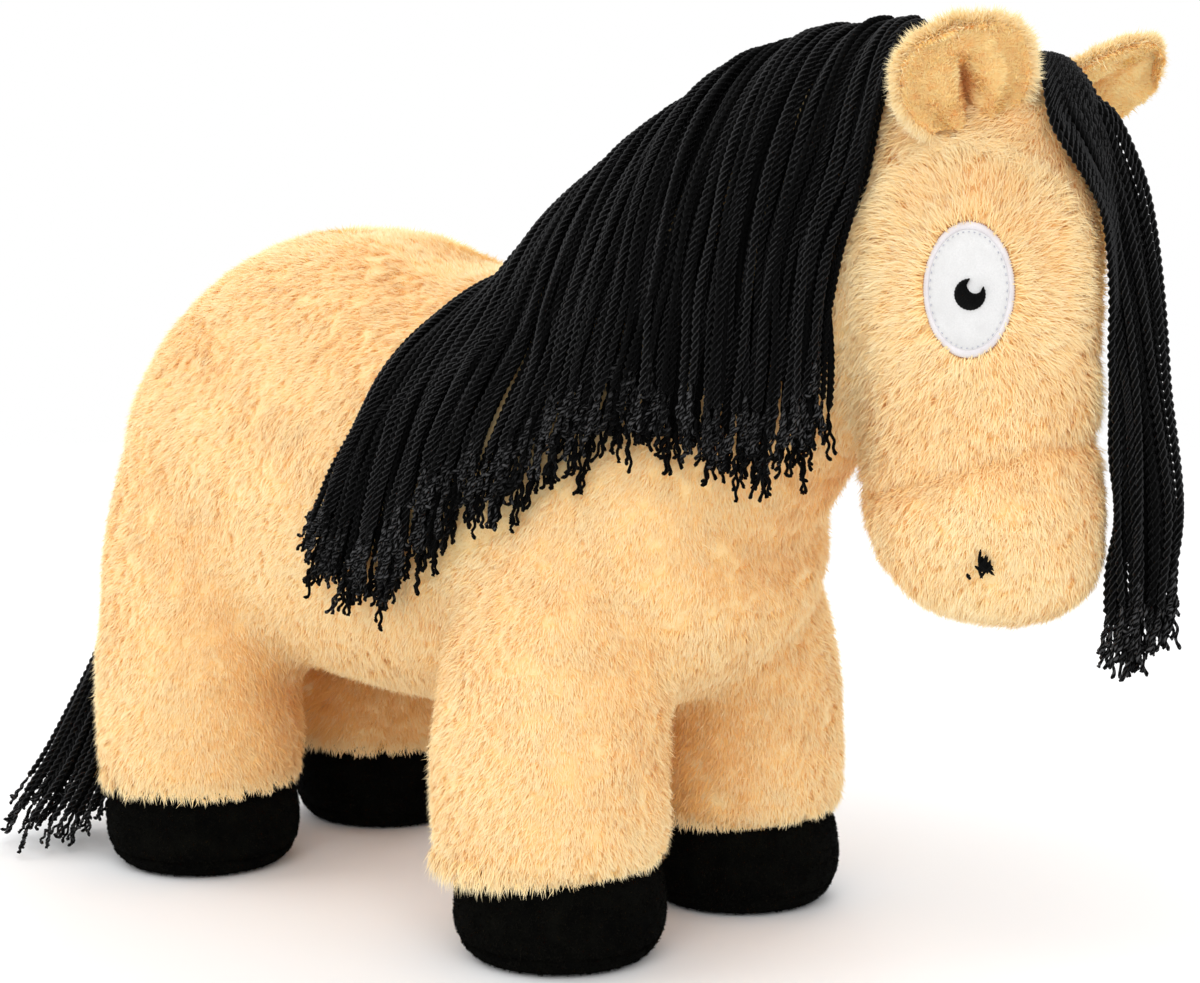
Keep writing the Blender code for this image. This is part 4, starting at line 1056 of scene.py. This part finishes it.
for side_name, side in SIDES:
    origin = eye_hits[side]
    facing = np.array((cos(EYE_TURN), side * sin(EYE_TURN), 0))
    across = np.cross(UP, facing)
    felt = [(0.02, 1.6), (0.2, 1.6), (0.4, 1.6), (0.6, 1.55), (0.78, 1.5), (0.86, 1.4), (0.9, 1.2),
            (0.9, 0.2), (0.02, 0.2)]
    patch = dome(side, origin, EYE_HALF_WIDTH, EYE_HALF_HEIGHT, [(r, h * MM) for r, h in felt], 96,
                 side_name + "_eye_felt", FELT)
    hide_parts(side_name + "_eye_patch")
    rim = [(0.875, 0.4), (0.88, 1.3), (0.895, 1.55), (0.915, 1.7), (0.94, 1.72), (0.965, 1.6),
           (0.99, 1.3), (1.005, 0.8), (1.0, 0.2), (0.88, 0.2)]
    ring = dome(side, origin, EYE_HALF_WIDTH, EYE_HALF_HEIGHT, [(r, h * MM) for r, h in rim], 128,
                side_name + "_eye_rim", SATIN)
    stitches = []
    for k in range(44):
        t = k * 2 * pi / 44
        ends = []
        for d in (-0.028, 0.028):
            ends.append((EYE_HALF_WIDTH * 0.85 * cos(t + d), EYE_HALF_HEIGHT * 0.85 * sin(t + d)))
        a, b = on_head(side, ends, [0.0017, 0.0017], origin)
        stitches.append((a, b, facing))
    thread_bits(side_name + "_eye_stitches", stitches, 0.00016, THREAD_GREY)
    edging = []
    for k in range(150):
        t = k * 2 * pi / 150
        ends = [(EYE_HALF_WIDTH * r * cos(t), EYE_HALF_HEIGHT * r * sin(t)) for r in (0.992, 1.022)]
        a, b = on_head(side, ends, [0.0014, 0.0006], origin)
        edging.append((a, b, facing))
    thread_bits(side_name + "_eye_edging", edging, 0.00011, THREAD_BROWN)

    disc_r, bite_r = 0.0046, 0.0024
    bite = np.array((0.0015 * (1 if side < 0 else 1), 0.0027))
    gap = np.hypot(*bite)
    toward = np.arctan2(bite[1], bite[0])
    at_disc, at_bite = (
        np.arccos(np.clip((own ** 2 + gap ** 2 - other ** 2) / (2 * own * gap), -1, 1))
        for own, other in ((disc_r, bite_r), (bite_r, disc_r))
    )
    columns, rows = 72, 9
    outer = toward + np.linspace(at_disc, 2 * pi - at_disc, columns)
    outer_at = np.stack([disc_r * np.cos(outer), disc_r * np.sin(outer)], axis=1)
    inner = toward + pi + np.linspace(at_bite, 2 * pi - at_bite, columns) - pi
    inner_at = bite + np.stack([bite_r * np.cos(inner), bite_r * np.sin(inner)], axis=1)
    first = np.linalg.norm(inner_at[0] - outer_at[0]) > np.linalg.norm(inner_at[-1] - outer_at[0])
    inner_at = inner_at[::-1] if first else inner_at
    flat, lift = [], []
    for i in range(rows):
        s = i / (rows - 1)
        for k in range(columns):
            q = outer_at[k] * (1 - s) + inner_at[k] * s
            rough = 1 + 0.02 * sin(k * 2.1 + side)
            flat.append(tuple(q * rough))
            lift.append(0.00175 + 0.0009 * (1 - (2 * s - 1) ** 4) * (1 + 0.12 * sin(k * 1.9)))
    verts = on_head(side, flat, lift, origin + across * 0.0006 - UP * 0.0012)
    pupil = mesh_piece(side_name + "_eye_crescent", verts, grid_faces(rows, columns, False), THREAD, "horse_body")
    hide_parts(side_name + "_eye_pupil")

    marks = []
    draw = np.random.default_rng(60 + side)
    for k in range(26):
        slant = (1 if k % 2 else -1) * draw.uniform(0.1, 1.2)
        mid = (-0.0042 - 0.0003 * k, -0.0040 + 0.0003 * k)
        if k > 2:
            mid = (draw.normal() * 0.0011, draw.normal() * 0.0012)
        half = draw.uniform(0.0013, 0.0025) if k > 2 else 0.0006
        ends = [(mid[0] + way * half * sin(slant), mid[1] + way * half * cos(slant)) for way in (-1, 1)]
        h = 0.0022 + 0.0013 * draw.random()
        a, b = on_head(side, ends, [h, h], nostril_at[side])
        marks.append((a, b, facing))
    nostril = thread_bits(side_name + "_nostril_stitches", marks, 0.00050, THREAD)
    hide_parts(side_name + "_nostril")


# Ears.

EAR_WIDTH = 0.041
EAR_PLACES = {
    "right": ((HEAD_X + 0.012, -0.0195), (0.22, -0.58, 0.76), (0.68, -0.62, -0.40), 0.0265,
              (-0.0002, -0.0038, -0.0010), 0.0066,
              (0.62, 0.82, 0.91, 0.93, 0.90, 0.80, 0.56, 0.0), 0.78, 0.0036),
    "left": ((HEAD_X + 0.005, 0.0240), (0.62, 0.68, 0.36), (0.62, -0.18, -0.76), 0.0405,
             (-0.0012, -0.0010, 0.0034), 0.004,
             (0.60, 0.80, 0.95, 1.0, 0.95, 0.82, 0.56, 0.0), 0.60, 0.0085),
}
EAR_STOPS = [0.0, 0.17, 0.34, 0.5, 0.67, 0.82, 0.94, 1.0]
EAR_PILE = 0.0030


def ear_frame(side_name):
    spot, along, facing, reach, shift, deep = EAR_PLACES[side_name][:6]
    along = unit(np.array(along))
    facing = unit(np.array(facing) - along * (np.array(facing) @ along))
    seat = first_hit(HEAD_TOP, (*spot, 0.5), DOWN)
    return seat + np.array(shift), along, facing, np.cross(along, facing), reach, deep


def ear_sheet(side_name, t, share, lift, inset=0.0):
    """Places on the ear's cupped leaf: t from base to tip, share from edge to edge."""
    seat, along, facing, across, reach, deep = ear_frame(side_name)
    widths, fold_end, cup = EAR_PLACES[side_name][6:]
    width = np.interp(t, EAR_STOPS, widths)
    half = np.maximum((EAR_WIDTH / 2 - inset) * width, 0.0002)
    far = -deep + (reach - inset + deep) * t
    rise = cup * share ** 2 * (1 - t / 2)
    crease = 0.0074 * np.exp(-(share / 0.15) ** 2) * smooth((fold_end - t) / 0.42)
    rise = rise + 0.0034 * np.exp(-((np.abs(share) - 0.38) / 0.2) ** 2) * smooth((0.75 - t) / 0.5)
    return (
        seat + along * far[:, None] + across * (half * share)[:, None]
        + facing * (rise - crease + lift)[:, None]
    )


def near_crease(side_name, points):
    """How far places lie from the ear's middle line, across it."""
    seat, along, facing, across, reach, deep = ear_frame(side_name)
    return np.abs((points - seat) @ across) + 0.004 * smooth((points - seat) @ along / reach)


def make_ear(side_name):
    seat, along, facing, across, reach, deep = ear_frame(side_name)
    rows, columns = 40, 48
    ts = 1 - (1 - np.linspace(0, 1, rows)) ** 1.4
    shares = np.sin(np.linspace(-pi / 2, pi / 2, columns))
    t, s = (g.ravel() for g in np.meshgrid(ts, shares, indexing="ij"))
    bulge = (1 - s ** 4) * (1 - t ** 6)
    back = ear_sheet(side_name, t, s, 0.0022 - 0.0014 * bulge, 0.0016)
    front = ear_sheet(side_name, t, s, 0.0036 + 0.0008 * bulge, 0.0016)
    quads = grid_faces(rows, columns, False)
    count = rows * columns
    faces = [quads[:, ::-1], quads + count]
    edge = np.concatenate([
        np.arange(columns), np.arange(1, rows) * columns + columns - 1,
        np.arange(count - 2, count - columns - 1, -1), np.arange(rows - 2, 0, -1) * columns,
    ])
    after = np.roll(edge, -1)
    faces.append(np.stack([edge, after, after + count, edge + count], axis=1))
    verts = np.vstack([back, front])
    leaf = mesh_piece(side_name + "_ear_leaf", verts, np.vstack(faces), PLUSH_SKIN, side_name + "_ear")
    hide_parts(side_name + "_ear_back")
    inner_low = ear_sheet(side_name, t, s, 0.0034 + 0.0004 * bulge, 0.0010)
    inner_high = ear_sheet(side_name, t, s, 0.0038 + 0.0016 * bulge, 0.0010)
    lining = mesh_piece(
        side_name + "_ear_inside", np.vstack([inner_low, inner_high]), np.vstack(faces), LINING_SKIN,
        side_name + "_ear",
    )
    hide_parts(side_name + "_ear_lining")
    tris = halved(quads)

    back_norms = -point_normals(back, tris)
    if (back_norms @ facing).mean() > 0:
        back_norms = -back_norms
    p, n, _ = sample(back, back_norms, tris, np.ones(len(tris)), 1700, 500)
    nap_dir = np.tile(along, (len(p), 1)) + 0.3 * np.stack([waves(p, 0.02, k) for k in (61, 62, 63)], axis=1)
    made = blades(p, n, nap_dir, np.full(len(p), 0.0050), np.full(len(p), 0.84),
                  np.clip(0.15 + waves(p, 0.01, 64) * 0.15, 0, 1), np.zeros(len(p)), 0.00040, 0.0018, 510)
    pile_pieces(side_name + "_ear_pile", made, PLUSH_FUR, side_name + "_ear")

    front_norms = point_normals(inner_high, tris)
    if (front_norms @ facing).mean() < 0:
        front_norms = -front_norms
    number = 6500
    p, n, _ = sample(inner_high, front_norms, tris, np.ones(len(tris)), number, 520)
    nap_dir = 0.8 * along + np.stack([waves(p, 0.012, k) for k in (71, 72, 73)], axis=1) * 0.45
    # The nap is mixed towards its shade colour along the ear's middle crease: painted shade in the crease.
    made = blades(p, n, nap_dir, np.full(number, 0.0024), np.full(number, 0.70),
                  np.clip(0.12 + waves(p, 0.0026, 74) * 0.30, 0, 1),
                  np.exp(-(near_crease(side_name, p) / 0.0026) ** 2) * 0.8,
                  0.00030, 0.0010, 530, per_clump=6, ragged=0.25)
    pile_pieces(side_name + "_ear_nap", made, LINING_FUR, side_name + "_ear")

    draw = np.random.default_rng(540)
    number = 2200
    u = draw.random(number)
    around = np.linspace(0, 1, 400)
    rim_t = np.where(around < 0.4, around / 0.4, np.where(around > 0.6, (1 - around) / 0.4, 1.0)) * 0.97
    rim_s = np.where(around < 0.4, -1.0, np.where(around > 0.6, 1.0, (around - 0.5) / 0.1))
    rim = ear_sheet(side_name, rim_t, rim_s, np.full(400, 0.0018), 0.0018)
    run = run_along(rim)
    p = places_at(u * run[-1], run, rim)
    middle = seat + along * reach * 0.45
    outward = unit(p - middle - facing * ((p - middle) @ facing)[:, None])
    n = unit(outward + facing * draw.uniform(-0.9, 0.1, number)[:, None])
    nap_dir = outward + 0.1 * facing + along * 0.2 + draw.normal(size=(number, 3)) * 0.3
    long = draw.uniform(0.0034, 0.0070, number) * (1.0 if side_name == "right" else 0.75)
    made = blades(p, n, nap_dir, long, np.full(number, 0.35),
                  np.clip(0.05 + draw.normal(size=number) * 0.08, 0, 1), np.zeros(number),
                  0.00032, 0.0016, 550, per_clump=7, ragged=0.42)
    pile_pieces(side_name + "_ear_fringe", made, PLUSH_FUR, side_name + "_ear")


for side_name, _ in SIDES:
    make_ear(side_name)

for name in ("mane_tape", "forelock_tape", "tail_tape"):
    for slot in NODES[name].material_slots:
        slot.material = TAPE


# Floor, light and camera.

def stage():
    mat, tree, shader = material("floor_white")
    link = tree.links.new
    set_inputs(shader, Base_Color=(0.86, 0.86, 0.86, 1), Roughness=0.9, Specular_IOR_Level=0.1)
    place = add(tree, "ShaderNodeTexCoord")
    far = add(tree, "ShaderNodeVectorMath", operation="LENGTH")
    fade = add(tree, "ShaderNodeMapRange", in_From_Min=0.45, in_From_Max=1.3)
    clear = tree.nodes.new("ShaderNodeBsdfTransparent")
    blend = tree.nodes.new("ShaderNodeMixShader")
    link(place.outputs["Object"], far.inputs[0])
    link(far.outputs["Value"], fade.inputs["Value"])
    link(fade.outputs["Result"], blend.inputs[0])
    link(shader.outputs[0], blend.inputs[1])
    link(clear.outputs[0], blend.inputs[2])
    link(blend.outputs[0], tree.nodes["Material Output"].inputs["Surface"])
    steps = 48
    turn = np.arange(steps) * 2 * pi / steps
    verts = np.stack([np.cos(turn) * 6, np.sin(turn) * 6, 0 * turn], axis=1)
    mesh = bpy.data.meshes.new("floor")
    mesh.from_pydata([tuple(v) for v in verts], [], [tuple(range(steps))])
    mesh.materials.append(mat)
    floor = bpy.data.objects.new("floor", mesh)
    bpy.context.scene.collection.objects.link(floor)

    world = bpy.data.worlds.new("studio")
    bpy.context.scene.world = world
    world.use_nodes = True
    tree = world.node_tree
    link = tree.links.new
    tree.nodes.clear()
    out = tree.nodes.new("ShaderNodeOutputWorld")
    glow = add(tree, "ShaderNodeBackground", in_Color=(0.985, 0.99, 1.0, 1), in_Strength=0.97)
    white = add(tree, "ShaderNodeBackground", in_Color=(1, 1, 1, 1), in_Strength=1.0)
    rays = tree.nodes.new("ShaderNodeLightPath")
    mix = tree.nodes.new("ShaderNodeMixShader")
    link(rays.outputs["Is Camera Ray"], mix.inputs[0])
    link(glow.outputs[0], mix.inputs[1])
    link(white.outputs[0], mix.inputs[2])
    link(mix.outputs[0], out.inputs["Surface"])

    for name, place, size, power in (
        ("key", (0.9, -1.1, 1.5), 1.3, 11.5), ("fill", (-1.2, -0.9, 1.1), 1.4, 9.5),
        ("front", (1.1, -1.0, 0.30), 0.9, 2.4), ("back", (-0.6, 1.2, 1.4), 1.2, 9.0),
    ):
        light = bpy.data.lights.new(name, "AREA")
        light.size = size
        light.energy = power
        lamp = bpy.data.objects.new(name, light)
        lamp.location = place
        lamp.rotation_mode = "QUATERNION"
        lamp.rotation_quaternion = (Vector((0, 0, 0.14)) - Vector(place)).to_track_quat("-Z", "Y")
        bpy.context.scene.collection.objects.link(lamp)

    camera = bpy.data.cameras.new("camera")
    camera.lens = 89.6
    camera.sensor_width = 36
    camera.sensor_fit = "HORIZONTAL"
    eye = bpy.data.objects.new("camera", camera)
    eye.location = (0.6811, -0.7402, 0.2866)
    eye.rotation_mode = "QUATERNION"
    eye.rotation_quaternion = (Vector((0.024, 0, 0.144)) - eye.location).to_track_quat("-Z", "Y")
    bpy.context.scene.collection.objects.link(eye)
    bpy.context.scene.camera = eye
    bpy.context.scene.view_settings.view_transform = "Standard"
    bpy.context.scene.cycles.diffuse_bounces = 10


stage()
